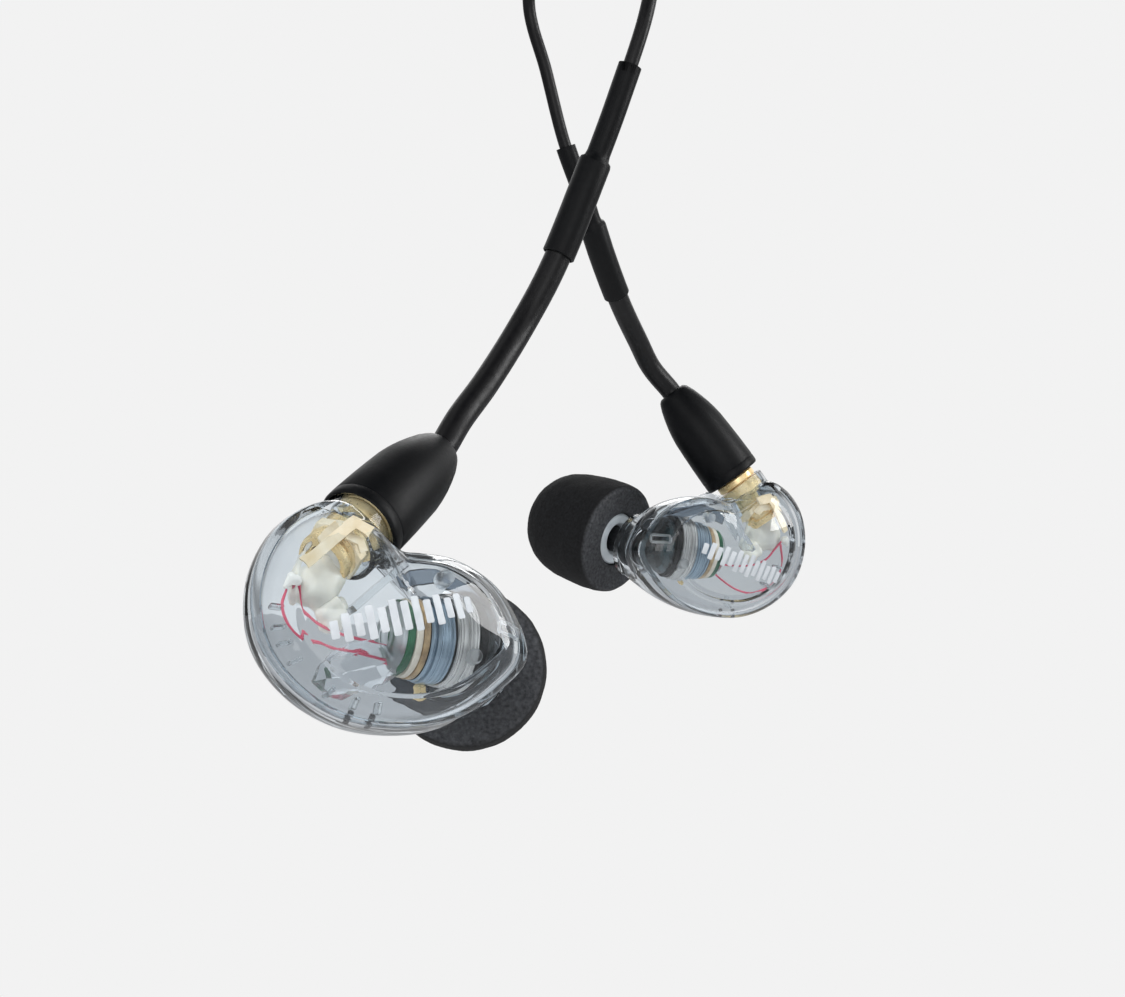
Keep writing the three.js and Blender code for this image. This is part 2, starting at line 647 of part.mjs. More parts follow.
// The main cable leaves the splitter upward and arches over to the plug.
function mainCable() {
  const points = [new THREE.Vector3(TWIN_AT.x, TWIN_AT.y, ARCH_BOTTOM - 2.8)];
  for (let step = 0; step <= 6; step++) {
    const turn = (Math.PI * step) / 6;
    points.push(new THREE.Vector3(
      TWIN_AT.x,
      TWIN_AT.y + ARCH_RADIUS * (1 - Math.cos(turn)),
      ARCH_BOTTOM + ARCH_RADIUS * Math.sin(turn),
    ));
  }
  points.push(new THREE.Vector3(PLUG_AT.x, PLUG_AT.y, ARCH_BOTTOM - 3));
  return piece("main_cable", cord(new THREE.CatmullRomCurve3(points), MAIN_RADIUS, 12, 18), CABLE_BLACK);
}

// The 3.5 mm plug points down. Heights along it run from the handle's shoulder, upward positive.
function stereoPlug() {
  const place = (geometry) => geometry.translate(PLUG_AT.x, PLUG_AT.y, SHOULDER);
  const top = HANDLE_LENGTH + RELIEF_LENGTH;
  const handle = turnedRing([
    [PIN_RADIUS + 0.05, 0], [HANDLE_RADIUS - 0.4, 0], [HANDLE_RADIUS, 0.4],
    [HANDLE_RADIUS, HANDLE_LENGTH - 2], [HANDLE_RADIUS - 0.7, HANDLE_LENGTH], [2.2, HANDLE_LENGTH + 0.4],
    [1.85, top], [MAIN_RADIUS + 0.1, top], [MAIN_RADIUS + 0.1, top - 4], [0.5, top - 4.2],
    [0.5, 6.0], [PIN_RADIUS + 0.05, 6.0],
  ]);
  const sleeve = tube(PIN_RADIUS, 1.25, -7.0, 5.5, 20);
  const insulator = turnedRing([
    [0.6, -10.75], [PIN_RADIUS, -10.75], [PIN_RADIUS, -10.05], [1.15, -10.05], [1.15, -7.75],
    [PIN_RADIUS, -7.75], [PIN_RADIUS, -7.05], [1.15, -7.05], [1.15, -3.0], [0.6, -3.0],
  ], 20);
  const ringContact = tube(PIN_RADIUS, 1.2, -10.0, -7.8, 20);
  const tipContact = turned([
    [0, -PIN_LENGTH], [0.5, -13.9], [1.55, -12.9], [1.6, -12.6], [1.15, -11.6], [PIN_RADIUS, -11.0],
    [PIN_RADIUS, -10.8], [0.54, -10.8], [0.54, -3.5], [0, -3.5],
  ], 20);
  return [
    piece("plug_handle", place(handle), BLACK_PLASTIC),
    piece("plug_sleeve_contact", place(sleeve), GOLD),
    piece("plug_insulator", place(insulator), BLACK_PLASTIC),
    piece("plug_ring_contact", place(ringContact), GOLD),
    piece("plug_tip_contact", place(tipContact), GOLD),
  ];
}

// Waypoints of the two cables above their boots; they cross, the right one behind the left.
const LEFT_WAY = [
  [-8.38, 12.2, 6.36], [-6.3, 15, 9.6], [-3.5, 18.5, 14.6], [-0.9, 19.5, 19.6], [2.4, 20, 27.8],
  [4.85, 20, 34.4], [7.4, 20.5, 42.6], [8.0, 24.5, 50], [5.5, 31, 58],
];
const RIGHT_WAY = [
  [10.1, 65, 14.9], [8.5, 62.5, 17.6], [6.3, 58.5, 21.5], [4.0, 54.5, 26.8], [2.15, 51.5, 32],
  [0.15, 50, 37.3], [-1.7, 49.5, 44.5], [-3.5, 49, 51.5], [-1.8, 42, 58.5],
];

const pair = new THREE.Group();
const left = monitor(LEFT);
const right = monitor(RIGHT);
pair.add(
  left.placed, right.placed,
  ...branch("left", left.frame, LEFT_WAY, TWIN_SPACING / 2, 28.4),
  ...branch("right", right.frame, RIGHT_WAY, -TWIN_SPACING / 2, 22.8),
  ...sliderAndSplitter(), mainCable(), ...stereoPlug(),
);

// The origin is the middle of the whole pair's box.
const middle = new THREE.Box3().setFromObject(pair, true).getCenter(new THREE.Vector3());
pair.position.sub(middle);
const monitors = new THREE.Group();
monitors.add(pair);

export default monitors;
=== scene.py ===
# The looks of a pair of in ear monitors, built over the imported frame: clear housings with their
# drivers, jacks and wires inside, foam tips, moulded boots, cables with shrink sleeves and a plug.
import json
import math

import bmesh
import bpy
from mathutils import Matrix, Vector, noise


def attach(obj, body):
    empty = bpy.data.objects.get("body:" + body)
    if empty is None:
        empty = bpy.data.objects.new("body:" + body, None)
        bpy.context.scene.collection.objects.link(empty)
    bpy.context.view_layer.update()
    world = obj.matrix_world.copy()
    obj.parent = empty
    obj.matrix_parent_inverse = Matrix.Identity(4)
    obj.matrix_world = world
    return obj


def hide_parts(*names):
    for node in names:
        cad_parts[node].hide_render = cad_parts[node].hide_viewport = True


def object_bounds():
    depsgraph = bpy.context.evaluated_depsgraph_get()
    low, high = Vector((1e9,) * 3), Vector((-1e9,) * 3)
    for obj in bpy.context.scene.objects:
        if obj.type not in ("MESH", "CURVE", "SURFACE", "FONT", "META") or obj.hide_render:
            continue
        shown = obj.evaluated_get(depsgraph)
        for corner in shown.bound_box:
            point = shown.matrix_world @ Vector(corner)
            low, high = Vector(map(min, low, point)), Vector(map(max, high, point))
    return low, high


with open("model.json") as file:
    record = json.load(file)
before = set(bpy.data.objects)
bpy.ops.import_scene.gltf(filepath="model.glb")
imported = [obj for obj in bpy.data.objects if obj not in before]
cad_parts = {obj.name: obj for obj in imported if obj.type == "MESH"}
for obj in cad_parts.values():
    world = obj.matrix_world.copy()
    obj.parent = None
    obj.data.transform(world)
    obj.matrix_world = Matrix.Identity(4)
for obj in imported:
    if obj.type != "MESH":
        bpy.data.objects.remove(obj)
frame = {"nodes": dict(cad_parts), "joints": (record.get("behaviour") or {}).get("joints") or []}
CAD_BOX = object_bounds()
MM = 0.001
SIDES = ("left", "right")
JOINTS = {joint["name"]: joint for joint in frame["joints"]}


def direction(azimuth, elevation):
    a, e = math.radians(azimuth), math.radians(elevation)
    return Vector((math.cos(e) * math.cos(a), math.cos(e) * math.sin(a), math.sin(e)))


# One monitor in its own frame, in millimetres: +x to the pointed end, +y inward to the ear, +z up.
WALL = 0.8
FACE_BULGE = 1.4
CREASE_INSET = 2.3
PARTING_DEPTH = 2.2
PARTING_INSET = 0.35
SEAM_GAP = 0.06
OUTLINE_REACH = 9.0
BACK_DEPTH_SHARE = 0.85
BACK_BULGE_SHARE = 0.13
COLLAR_POINT = Vector((-2.2, 4.6, 7.25))
COLLAR_AXIS = Vector((0.655, 0.3, 0.695)).normalized()
COLLAR_RADIUS = 2.95
COLLAR_LENGTH = 3.0
COLLAR_BORE = 2.45
JACK_DEPTH = 5.2
NOZZLE_POINT = Vector((7.6, 7.6, -1.7))
NOZZLE_AXIS = direction(64, 6)
BOSS_RADIUS = 3.7
BOSS_HEIGHT = 0.8
BOSS_BORE = 2.15
DRIVER_POINT = Vector((0.3, 3.75, -1.1))
DRIVER_AXIS = direction(4, 0)
CHAMBER_START = 6.08
PLUG_END = 4.4
BOOT_START = {"left": -0.4, "right": 1.0}
BOOT_MOUTH_RADIUS = 3.05
BOOT_MOUTH_DEPTH = 1.4
BOOT_SEAT_RADIUS = 3.55
BOOT_SEAT_DEPTH = 0.6
BOOT_ROOM = 0.12
CABLE_START = PLUG_END + 0.9
BOOT_LENGTH = 12.0
BOOT_WIDE = 3.25
BOOT_NARROW = 3.15
BOOT_WIDE_AXIS = Vector((0.74, -0.35, -0.6))
NOZZLE_RADIUS = 1.45
NOZZLE_LENGTH = 7.2
TIP_START = 2.9
TIP_RADIUS = 6.5
TIP_LENGTH = 11.2
CORE_FLANGE_RADIUS = 3.0
CORE_RADIUS = 2.2
CORE_BORE = 1.52
THICK_RADIUS = 1.15
THIN_RADIUS = 0.65
MAIN_RADIUS = 1.3
SLEEVE_LENGTH = 16.8
SLEEVE_STEP = 9.0
SLEEVE_WALL = 0.16
SLEEVE_FIT = 0.12
OUTLINE_COUNT = 160
CUT_REACH = 4.0
CHAMBER_END = -1.0
CHAMBER_MOUTH = {"outside": 3.1, "inside": 2.7}
CHAMBER_EXIT = {"outside": 1.8, "inside": 1.35}
RIB_INSET = 2.1
RIB_DEPTH = 3.4
BAR_PITCH = 0.86
BAR_WIDTH = 0.58

# The housing's outline from the pointed end over the top, as x and z.
OUTLINE = [
    (10.8, -2.2), (9.8, 1.1), (7.6, 3.6), (4.4, 5.05), (1.6, 5.2), (-0.1, 5.2),
    (-2.2, 6.8), (-4.6, 8.5), (-7.4, 7.8), (-10.0, 5.4), (-11.35, 1.4), (-10.65, -2.8),
    (-8.0, -6.0), (-4.0, -8.0), (1.0, -8.3), (5.2, -7.2), (8.7, -4.8),
]

# The cables hang in a frame of their own, in millimetres, in which the left connector is here.
LEFT_CONNECTOR_AT = Vector((-15.0327, 1.6758, -2.0311))
CAMERA_DISTANCE = 118.0
TWIN_SPACING = 1.8
TWIN_AT = (2.2, 35.0)
TWIN_BOTTOM = 67.5
SLIDER_BOTTOM = 68.5
SLIDER_HEIGHT = 7.0
SPLITTER_BOTTOM = 85.0
SPLITTER_HEIGHT = 8.5
ARCH_RADIUS = 9.0
HANDLE_LENGTH = 14.0
RELIEF_LENGTH = 6.0
HANDLE_RADIUS = 3.9
PIN_RADIUS = 1.75
PIN_LENGTH = 14.0
PLUG_AT = (TWIN_AT[0], TWIN_AT[1] + 2 * ARCH_RADIUS)
ARCH_BOTTOM = SPLITTER_BOTTOM + SPLITTER_HEIGHT + 1
SHOULDER = ARCH_BOTTOM - 0.4 - RELIEF_LENGTH - HANDLE_LENGTH
WAYPOINTS = {
    "left": [
        (-8.38, 12.2, 6.36), (-6.3, 15, 9.6), (-3.5, 18.5, 14.6), (-0.9, 19.5, 19.6), (2.4, 20, 27.8),
        (4.85, 20, 34.4), (7.4, 20.5, 42.6), (8.0, 24.5, 50), (5.5, 31, 58),
    ],
    "right": [
        (10.1, 65, 14.9), (8.5, 62.5, 17.6), (6.3, 58.5, 21.5), (4.0, 54.5, 26.8), (2.15, 51.5, 32),
        (0.15, 50, 37.3), (-1.7, 49.5, 44.5), (-3.5, 49, 51.5), (-1.8, 42, 58.5),
    ],
}
SLEEVE_START = {"left": 28.4, "right": 22.8}


# ---- Places ----

def joint_axis(name):
    return Vector(JOINTS[name]["axis"]).normalized()


def basis(first, second):
    """A turn whose first column is the first axis and whose third is square to both."""
    normal = first.cross(second).normalized()
    columns = (first.normalized(), normal.cross(first).normalized(), normal)
    return Matrix(columns).transposed()


def monitor_place(side):
    """From a monitor's own millimetres to the row frame, found from its two joint axes."""
    mirror = Matrix.Diagonal((1 if side == "left" else -1, 1, 1))
    own = basis(mirror @ COLLAR_AXIS, mirror @ NOZZLE_AXIS)
    world = basis(joint_axis(side + "_swivel"), joint_axis(side + "_tip_pull"))
    turn = (world @ own.transposed() @ mirror).to_4x4()
    at = Vector(JOINTS[side + "_swivel"]["pos_m"])
    return Matrix.Translation(at) @ turn @ Matrix.Scale(MM, 4) @ Matrix.Translation(-COLLAR_POINT)


PLACE = {side: monitor_place(side) for side in SIDES}
HANG_ORIGIN = Vector(JOINTS["left_swivel"]["pos_m"]) - LEFT_CONNECTOR_AT * MM
HANG = Matrix.Translation(HANG_ORIGIN) @ Matrix.Scale(MM, 4)


def connector_point(distance):
    return COLLAR_POINT + COLLAR_AXIS * distance


# ---- Shapes: each is a list of points and a list of faces ----

# The corners of a square, in order round it.
CORNERS = ((-1, -1), (1, -1), (1, 1), (-1, 1))


def bezier(points, share):
    """A point on the Bezier curve of three or four points."""
    level = list(points)
    while len(level) > 1:
        level = [a.lerp(b, share) for a, b in zip(level, level[1:])]
    return level[0]


def skin(rings, loop=False, poles=None):
    """A closed skin over rings of equal length: joined to itself, or capped at both ends."""
    count = len(rings[0])
    points = [p for ring in rings for p in ring]
    faces = []
    for r in range(len(rings) if loop else len(rings) - 1):
        low = r * count
        high = (r + 1) % len(rings) * count
        for i in range(count):
            j = (i + 1) % count
            faces.append((low + i, low + j, high + j, high + i))
    if not loop:
        for end, first in enumerate((0, (len(rings) - 1) * count)):
            ring = points[first:first + count]
            points.append(poles[end] if poles else sum(ring, Vector()) / count)
            hub = len(points) - 1
            faces.extend((hub, first + i, first + (i + 1) % count) for i in range(count))
    return points, faces


def softened(profile, radius, closed):
    """The profile with its corners rounded."""
    result = []
    last = len(profile) - 1
    for i, corner in enumerate(profile):
        if not closed and i in (0, last):
            result.append(corner)
            continue
        ends = []
        for other in (profile[i - 1], profile[(i + 1) % len(profile)]):
            reach = (other - corner).length
            ends.append(corner.lerp(other, min(radius / max(reach, 1e-6), 0.45)))
        result.extend(bezier((ends[0], corner, ends[1]), share / 3) for share in range(4))
    return result


def circle(centre, across, up, radius, sides):
    turns = (2 * math.pi * i / sides for i in range(sides))
    return [centre + (across * math.cos(t) + up * math.sin(t)) * radius for t in turns]


def level_circle(height, radius, sides):
    """A circle about the z axis."""
    return circle(Vector((0, 0, height)), Vector((1, 0, 0)), Vector((0, 1, 0)), radius, sides)


def turned(profile, sides=80, soft=0.06):
    """A solid of revolution about +z. A profile that starts on the axis ends on it too."""
    solid = profile[0][0] == 0
    line = softened([Vector(p) for p in profile], soft, not solid)
    rings = [level_circle(p.y, p.x, sides) for p in line if p.x > 0]
    poles = [Vector((0, 0, p.y)) for p in (line[0], line[-1])] if solid else None
    return skin(rings, not solid, poles)


def tube(outer, inner, low, high, sides=80, soft=0.06):
    return turned([(inner, low), (outer, low), (outer, high), (inner, high)], sides, soft)


def rod(radius, low, high, sides=80, soft=0.06):
    return turned([(0, low), (radius, low), (radius, high), (0, high)], sides, soft)


def slab(size, soft=0.08):
    """A block about the origin with rounded upright edges and eased rims."""
    half_x, half_y, half_z = (s / 2 for s in size)
    border = softened([Vector((a * half_x, b * half_y)) for a, b in CORNERS], soft * 2, True)
    rings = []
    for height, shrink in ((-half_z, soft), (-half_z + soft, 0), (half_z - soft, 0), (half_z, soft)):
        scale = Vector((1 - shrink / half_x, 1 - shrink / half_y))
        rings.append([Vector((p.x * scale.x, p.y * scale.y, height)) for p in border])
    return skin(rings)


def on_axis(shape, point, axis, roll=0.0):
    """A shape built about +z, turned onto an axis through a point."""
    turn = Vector((0, 0, 1)).rotation_difference(axis).to_matrix()
    turn = turn @ Matrix.Rotation(roll, 3, "Z")
    return [point + turn @ p for p in shape[0]], shape[1]


def blob(centre, radii, turn, rough, seed, count=40):
    """A lump of set adhesive: a ball drawn out by three radii and disturbed a little."""
    rings = []
    for r in range(1, count // 2):
        lift = math.pi * r / (count // 2)
        rings.append(level_circle(-math.cos(lift), math.sin(lift), count))
    points, faces = skin(rings, poles=(Vector((0, 0, -1)), Vector((0, 0, 1))))
    shaped = []
    for p in points:
        swell = 1 + rough * noise.noise(p * 1.6 + Vector((seed, 0, 0)))
        shaped.append(centre + turn @ Vector((p.x * radii[0], p.y * radii[1], p.z * radii[2])) * swell)
    return shaped, faces


# Which knots each round of the Barry-Goldman pyramid mixes between.
PYRAMID = (((0, 1), (1, 2), (2, 3)), ((0, 2), (1, 3)), ((1, 2),))


def centripetal(points, closed, per_span=24):
    """Points along a centripetal Catmull-Rom curve."""
    if closed:
        padded = [points[-1], *points, points[0], points[1]]
    else:
        padded = [2 * points[0] - points[1], *points, 2 * points[-1] - points[-2]]
    dense = []
    for s in range(len(padded) - 3):
        near = padded[s:s + 4]
        knots = [0.0]
        for a, b in zip(near, near[1:]):
            knots.append(knots[-1] + (b - a).length ** 0.5)
        for i in range(per_span):
            t = knots[1] + (knots[2] - knots[1]) * i / per_span
            level = near
            for spans in PYRAMID:
                pairs = zip(level, level[1:], spans)
                level = [a.lerp(b, (t - knots[lo]) / (knots[hi] - knots[lo])) for a, b, (lo, hi) in pairs]
            dense.append(level[0])
    dense.append((padded[1] if closed else points[-1]).copy())
    return dense


class Path:
    """A curve with a frame carried along it, read by distance from its start."""

    def __init__(self, points, step=0.25):
        lengths = [0.0]
        for a, b in zip(points, points[1:]):
            lengths.append(lengths[-1] + (b - a).length)
        self.length = lengths[-1]
        count = max(2, round(self.length / step))
        self.step = self.length / count
        self.points = []
        k = 0
        for i in range(count + 1):
            want = i * self.step
            while k < len(lengths) - 2 and lengths[k + 1] < want:
                k += 1
            share = (want - lengths[k]) / max(lengths[k + 1] - lengths[k], 1e-9)
            self.points.append(points[k].lerp(points[k + 1], share))
        self.frames = []
        across = None
        for i, point in enumerate(self.points):
            along = (self.points[min(i + 1, count)] - self.points[max(i - 1, 0)]).normalized()
            across = across or along.orthogonal()
            across = (across - along * across.dot(along)).normalized()
            self.frames.append((point, across, along.cross(across)))

    def ring(self, distance, radius, sides=28):
        place = min(max(distance / self.step, 0), len(self.frames) - 1.001)
        low, high = self.frames[int(place)], self.frames[int(place) + 1]
        share = place - int(place)
        centre, across, up = (a.lerp(b, share) for a, b in zip(low, high))
        return circle(centre, across.normalized(), up.normalized(), radius, sides)

    def cord(self, start, end, radius, sides=28, spacing=0.4):
        """A round cord with eased ends."""
        ease = radius * 0.25
        count = max(4, round((end - start) / spacing))
        middle = [(start + ease + (end - start - 2 * ease) * i / count, radius) for i in range(count + 1)]
        stations = [(start, radius - ease), *middle, (end, radius - ease)]
        return skin([self.ring(at, r, sides) for at, r in stations])


def cord_through(points, radius, sides=14):
    path = Path(centripetal([Vector(p) for p in points], False), 0.12)
    return path.cord(0, path.length, radius, sides, 0.15)


# ---- The two shells of a housing ----

def evenly(points, count):
    path = Path(points, 0.05)
    return [path.points[round(i * (len(path.points) - 1) / count)] for i in range(count)]


outline = evenly(centripetal([Vector((x, 0, z)) for x, z in OUTLINE], True), OUTLINE_COUNT)


def outline_ring(inset, depth):
    scale = 1 - inset / OUTLINE_REACH
    return [Vector((p.x * scale, depth, p.z * scale)) for p in outline]


def dome_depth(inset):
    share = (inset - CREASE_INSET) / (OUTLINE_REACH - CREASE_INSET)
    return 0.02 - FACE_BULGE * math.sin(share * math.pi / 2)


def face_steps():
    """Insets and depths from the parting line over the side band and the crease to the middle."""
    band = [Vector(p) for p in ((PARTING_INSET, PARTING_DEPTH), (0.4, 1.45), (1.0, 1.0), (2.22, 0.16))]
    steps = [tuple(bezier(band, share / 10)) for share in range(11)]
    steps += [(CREASE_INSET, 0.06), (CREASE_INSET + 0.12, 0.02)]
    for k in range(1, 25):
        inset = CREASE_INSET + 0.12 + (OUTLINE_REACH - CREASE_INSET - 0.12) * (k / 25)
        steps.append((inset, dome_depth(inset)))
    return steps


def face_rings(wall):
    rings = []
    for i, (inset, depth) in enumerate(face_steps()):
        drawn = inset + wall * (1 - inset / OUTLINE_REACH)
        rings.append(outline_ring(drawn, depth + wall if i else depth))
    return rings


def boss_ring(radius, height):
    """A circle about the nozzle axis whose points face the outline's points."""
    centre = NOZZLE_POINT + NOZZLE_AXIS * height
    ring = []
    for p in outline:
        out = Vector((p.x, 0, p.z))
        ring.append(centre + (out - NOZZLE_AXIS * out.dot(NOZZLE_AXIS)).normalized() * radius)
    return ring


def back_rings(wall, boss_radius, bands=20):
    """The inner shell's skin from the parting line back and round to the nozzle boss."""
    start = outline_ring(PARTING_INSET + wall, PARTING_DEPTH + SEAM_GAP)
    widest = outline_ring(wall - PARTING_INSET, 0)
    end = boss_ring(boss_radius, -wall)
    columns = []
    for near, wide, to in zip(start, widest, end):
        first = Vector((wide.x, near.y + BACK_DEPTH_SHARE * (to.y - near.y), wide.z))
        second = to.lerp(near, 0.5)
        second.y = to.y + BACK_BULGE_SHARE * (near - to).length
        columns.append([bezier((near, first, second, to), share / bands) for share in range(bands + 1)])
    return [list(ring) for ring in zip(*columns)]


def outer_shape():
    return skin([*reversed(face_rings(0)), *face_rings(WALL)])


def inner_shape():
    outside = back_rings(0, BOSS_RADIUS)
    inside = back_rings(WALL, BOSS_BORE)
    lip = [boss_ring(BOSS_RADIUS, BOSS_HEIGHT - 0.2), boss_ring(BOSS_RADIUS - 0.2, BOSS_HEIGHT)]
    lip.append(boss_ring(BOSS_BORE, BOSS_HEIGHT))
    return skin([*outside, *lip, *reversed(inside)], loop=True)


def on_connector(shape, roll=0.0):
    return on_axis(shape, COLLAR_POINT, COLLAR_AXIS, roll)


def on_driver(shape):
    return on_axis(shape, DRIVER_POINT, DRIVER_AXIS)


def on_nozzle(shape):
    return on_axis(shape, NOZZLE_POINT, NOZZLE_AXIS)


def face_at(x, z):
    """The depth of the face's outside at a place inside the outline."""
    turn = math.atan2(z, x)
    nearest = min(outline, key=lambda p: abs(math.remainder(math.atan2(p.z, p.x) - turn, 2 * math.pi)))
    inset = OUTLINE_REACH * (1 - math.hypot(x, z) / math.hypot(nearest.x, nearest.z))
    return dome_depth(max(inset, CREASE_INSET + 0.12))


# ---- Making pieces ----

def hull_of(points):
    """The convex skin round some points."""
    work = bmesh.new()
    for point in points:
        work.verts.new(point)
    made = bmesh.ops.convex_hull(work, input=work.verts)
    loose = [v for v in made["geom_interior"] if isinstance(v, bmesh.types.BMVert)]
    bmesh.ops.delete(work, geom=loose, context="VERTS")
    work.verts.index_update()
    shape = [v.co.copy() for v in work.verts], [[v.index for v in f.verts] for f in work.faces]
    work.free()
    return shape


def mesh_from(name, shape, place):
    points, faces = shape
    mesh = bpy.data.meshes.new(name)
    mesh.from_pydata([place @ p for p in points], [], faces)
    work = bmesh.new()
    work.from_mesh(mesh)
    bmesh.ops.recalc_face_normals(work, faces=work.faces)
    work.to_mesh(mesh)
    work.free()
    return mesh


def finish_piece(obj, body, look, node, sharp):
    """Gives a piece its look, sets it on a body and, if it has one, hides its CAD node."""
    obj.data.shade_smooth()
    obj.data.set_sharp_from_angle(angle=math.radians(sharp))
    obj.data.materials.clear()
    obj.data.materials.append(LOOKS[look])
    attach(obj, body)
    if node:
        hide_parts(node)


def adder(prefix, place, body):
    """Makes a function that adds pieces in one place, all riding on one body."""
    def add(name, shape, look, slot=None, node=None, sharp=38, along=None):
        mesh = mesh_from(prefix + name, shape, place)
        obj = bpy.data.objects.new(prefix + name, mesh)
        bpy.context.scene.collection.objects.link(obj)
        finish_piece(obj, body, look, node and prefix + node, sharp)
        if along:
            rise = mesh.attributes.new("rise", "FLOAT", "POINT")
            point, axis = along
            rise.data.foreach_set("value", [(p - point).dot(axis) for p in shape[0]])
        return obj
    return add


def on_housing(side):
    return adder(side + "_", PLACE[side], side + "_housing")


def built(name, base, steps, place, body, look, node, sharp):
    """A piece made in its own frame by unions and cuts, given as (operation, shape), then placed."""
    own = Matrix.Identity(4)
    obj = bpy.data.objects.new(name, mesh_from(name, base, own))
    bpy.context.scene.collection.objects.link(obj)
    tools = []
    for operation, shape in steps:
        tool = bpy.data.objects.new("tool", mesh_from("tool", shape, own))
        bpy.context.scene.collection.objects.link(tool)
        step = obj.modifiers.new("step", "BOOLEAN")
        step.operation = operation
        step.solver = "EXACT"
        step.object = tool
        tools.append(tool)
    graph = bpy.context.evaluated_depsgraph_get()
    result = bpy.data.meshes.new_from_object(obj.evaluated_get(graph))
    obj.modifiers.clear()
    obj.data = result
    for tool in tools:
        bpy.data.objects.remove(tool)
    result.transform(place)
    if place.determinant() < 0:
        result.flip_normals()
    finish_piece(obj, body, look, node, sharp)


# ---- Looks ----

# Noise values mostly lie between these two.
NOISE_LOW = 0.3
NOISE_HIGH = 0.7


def lit(red, green, blue):
    """A colour given as it shows on screen, 0 to 255, turned to the linear values shaders use."""
    def linear(value):
        share = value / 255
        return share / 12.92 if share <= 0.04045 else ((share + 0.055) / 1.055) ** 2.4
    return (linear(red), linear(green), linear(blue), 1.0)


class Tree:
    """A node tree with short ways to add, join and mix nodes."""

    def __init__(self, owner):
        owner.use_nodes = True
        self.nodes = owner.node_tree.nodes
        self.links = owner.node_tree.links
        self.nodes.clear()

    def add(self, kind, **inputs):
        made = self.nodes.new(kind)
        for name, value in inputs.items():
            made.inputs[name.replace("_", " ")].default_value = value
        return made

    def link(self, source, target):
        self.links.new(source, target)

    def mapped(self, source, start, end, low, high):
        made = self.add("ShaderNodeMapRange", From_Min=start, From_Max=end, To_Min=low, To_Max=high)
        self.link(source, made.inputs["Value"])
        return made.outputs["Result"]

    def ramp(self, source, stops, way="LINEAR"):
        """A colour read off a list of (place, colour) stops."""
        made = self.add("ShaderNodeValToRGB")
        made.color_ramp.interpolation = way
        while len(made.color_ramp.elements) < len(stops):
            made.color_ramp.elements.new(0.5)
        for element, (place, colour) in zip(made.color_ramp.elements, stops):
            element.position = place
            element.color = colour
        self.link(source, made.inputs["Fac"])
        return made.outputs["Color"]

    def blended(self, way, a, b, factor=None):
        """Two colours mixed fully, or by a factor read from elsewhere."""
        made = self.add("ShaderNodeMix")
        made.data_type = "RGBA"
        made.blend_type = way
        made.inputs["Factor"].default_value = 1.0
        if factor:
            self.link(factor, made.inputs["Factor"])
        self.link(a, made.inputs["A"])
        self.link(b, made.inputs["B"])
        return made.outputs["Result"]

    def chosen(self, factor, otherwise, then):
        """One of two shaders."""
        made = self.add("ShaderNodeMixShader")
        for source, target in zip((factor, otherwise, then), made.inputs):
            self.link(source, target)
        return made.outputs[0]


class Look(Tree):
    """A procedural material being put together round one Principled shader."""

    def __init__(self, name, colour, roughness, **inputs):
        self.material = bpy.data.materials.new(name)
        super().__init__(self.material)
        self.output = self.add("ShaderNodeOutputMaterial")
        self.shader = self.add("ShaderNodeBsdfPrincipled", Base_Color=colour, Roughness=roughness, **inputs)
        self.show(self.shader.outputs[0])

    def show(self, surface):
        self.link(surface, self.output.inputs["Surface"])

    def noise(self, size_mm, detail=3.0):
        """Noise with blotches about this big, in the row frame."""
        where = self.add("ShaderNodeTexCoord")
        made = self.add("ShaderNodeTexNoise", Scale=1 / (size_mm * MM), Detail=detail)
        self.link(where.outputs["Object"], made.inputs["Vector"])
        return made.outputs["Fac"]

    def rise(self, size_mm):
        """Noise that changes only along a turned piece's axis, like lathe marks."""
        height = self.add("ShaderNodeAttribute")
        height.attribute_name = "rise"
        made = self.add("ShaderNodeTexNoise", Scale=1 / size_mm, Detail=2.0)
        made.noise_dimensions = "1D"
        self.link(height.outputs["Fac"], made.inputs["W"])
        return made.outputs["Fac"]

    def colour_between(self, source, dark, light, start=NOISE_LOW, end=NOISE_HIGH):
        self.link(self.ramp(source, [(start, dark), (end, light)]), self.shader.inputs["Base Color"])

    def roughness_between(self, source, low, high):
        result = self.mapped(source, NOISE_LOW, NOISE_HIGH, low, high)
        self.link(result, self.shader.inputs["Roughness"])

    def bump(self, source, depth_mm, strength=1.0):
        made = self.add("ShaderNodeBump", Strength=strength, Distance=depth_mm * MM)
        self.link(source, made.inputs["Height"])
        self.link(made.outputs["Normal"], self.shader.inputs["Normal"])

    def let_light_through(self, tint):
        """Shadow and bounce rays pass straight through, so what is inside stays lit."""
        kind = self.add("ShaderNodeLightPath")
        either = self.add("ShaderNodeMath")
        either.operation = "MAXIMUM"
        self.link(kind.outputs["Is Shadow Ray"], either.inputs[0])
        self.link(kind.outputs["Is Diffuse Ray"], either.inputs[1])
        through = self.add("ShaderNodeBsdfTransparent", Color=tint)
        self.show(self.chosen(either.outputs[0], self.shader.outputs[0], through.outputs[0]))


def clear_look(name, face_tint, edge_tint_and_shade, power, roughness, shadow_tint, index=1.5):
    """Clear plastic that darkens where it is seen edge on: partly the tint of a longer way through it,
    partly painted shade for the dark surroundings that its edges show.
    """
    look = Look(name, (*face_tint, 1), roughness, Transmission_Weight=1.0, IOR=index)
    facing = look.add("ShaderNodeLayerWeight", Blend=0.5)
    steep = look.add("ShaderNodeMath")
    steep.operation = "POWER"
    steep.inputs[1].default_value = power
    look.link(facing.outputs["Facing"], steep.inputs[0])
    look.colour_between(steep.outputs[0], (*face_tint, 1), (*edge_tint_and_shade, 1), 0.0, 1.0)
    look.bump(look.noise(3.0, 1.0), 0.03, 0.6)
    look.let_light_through((*shadow_tint, 1))
    return look.material


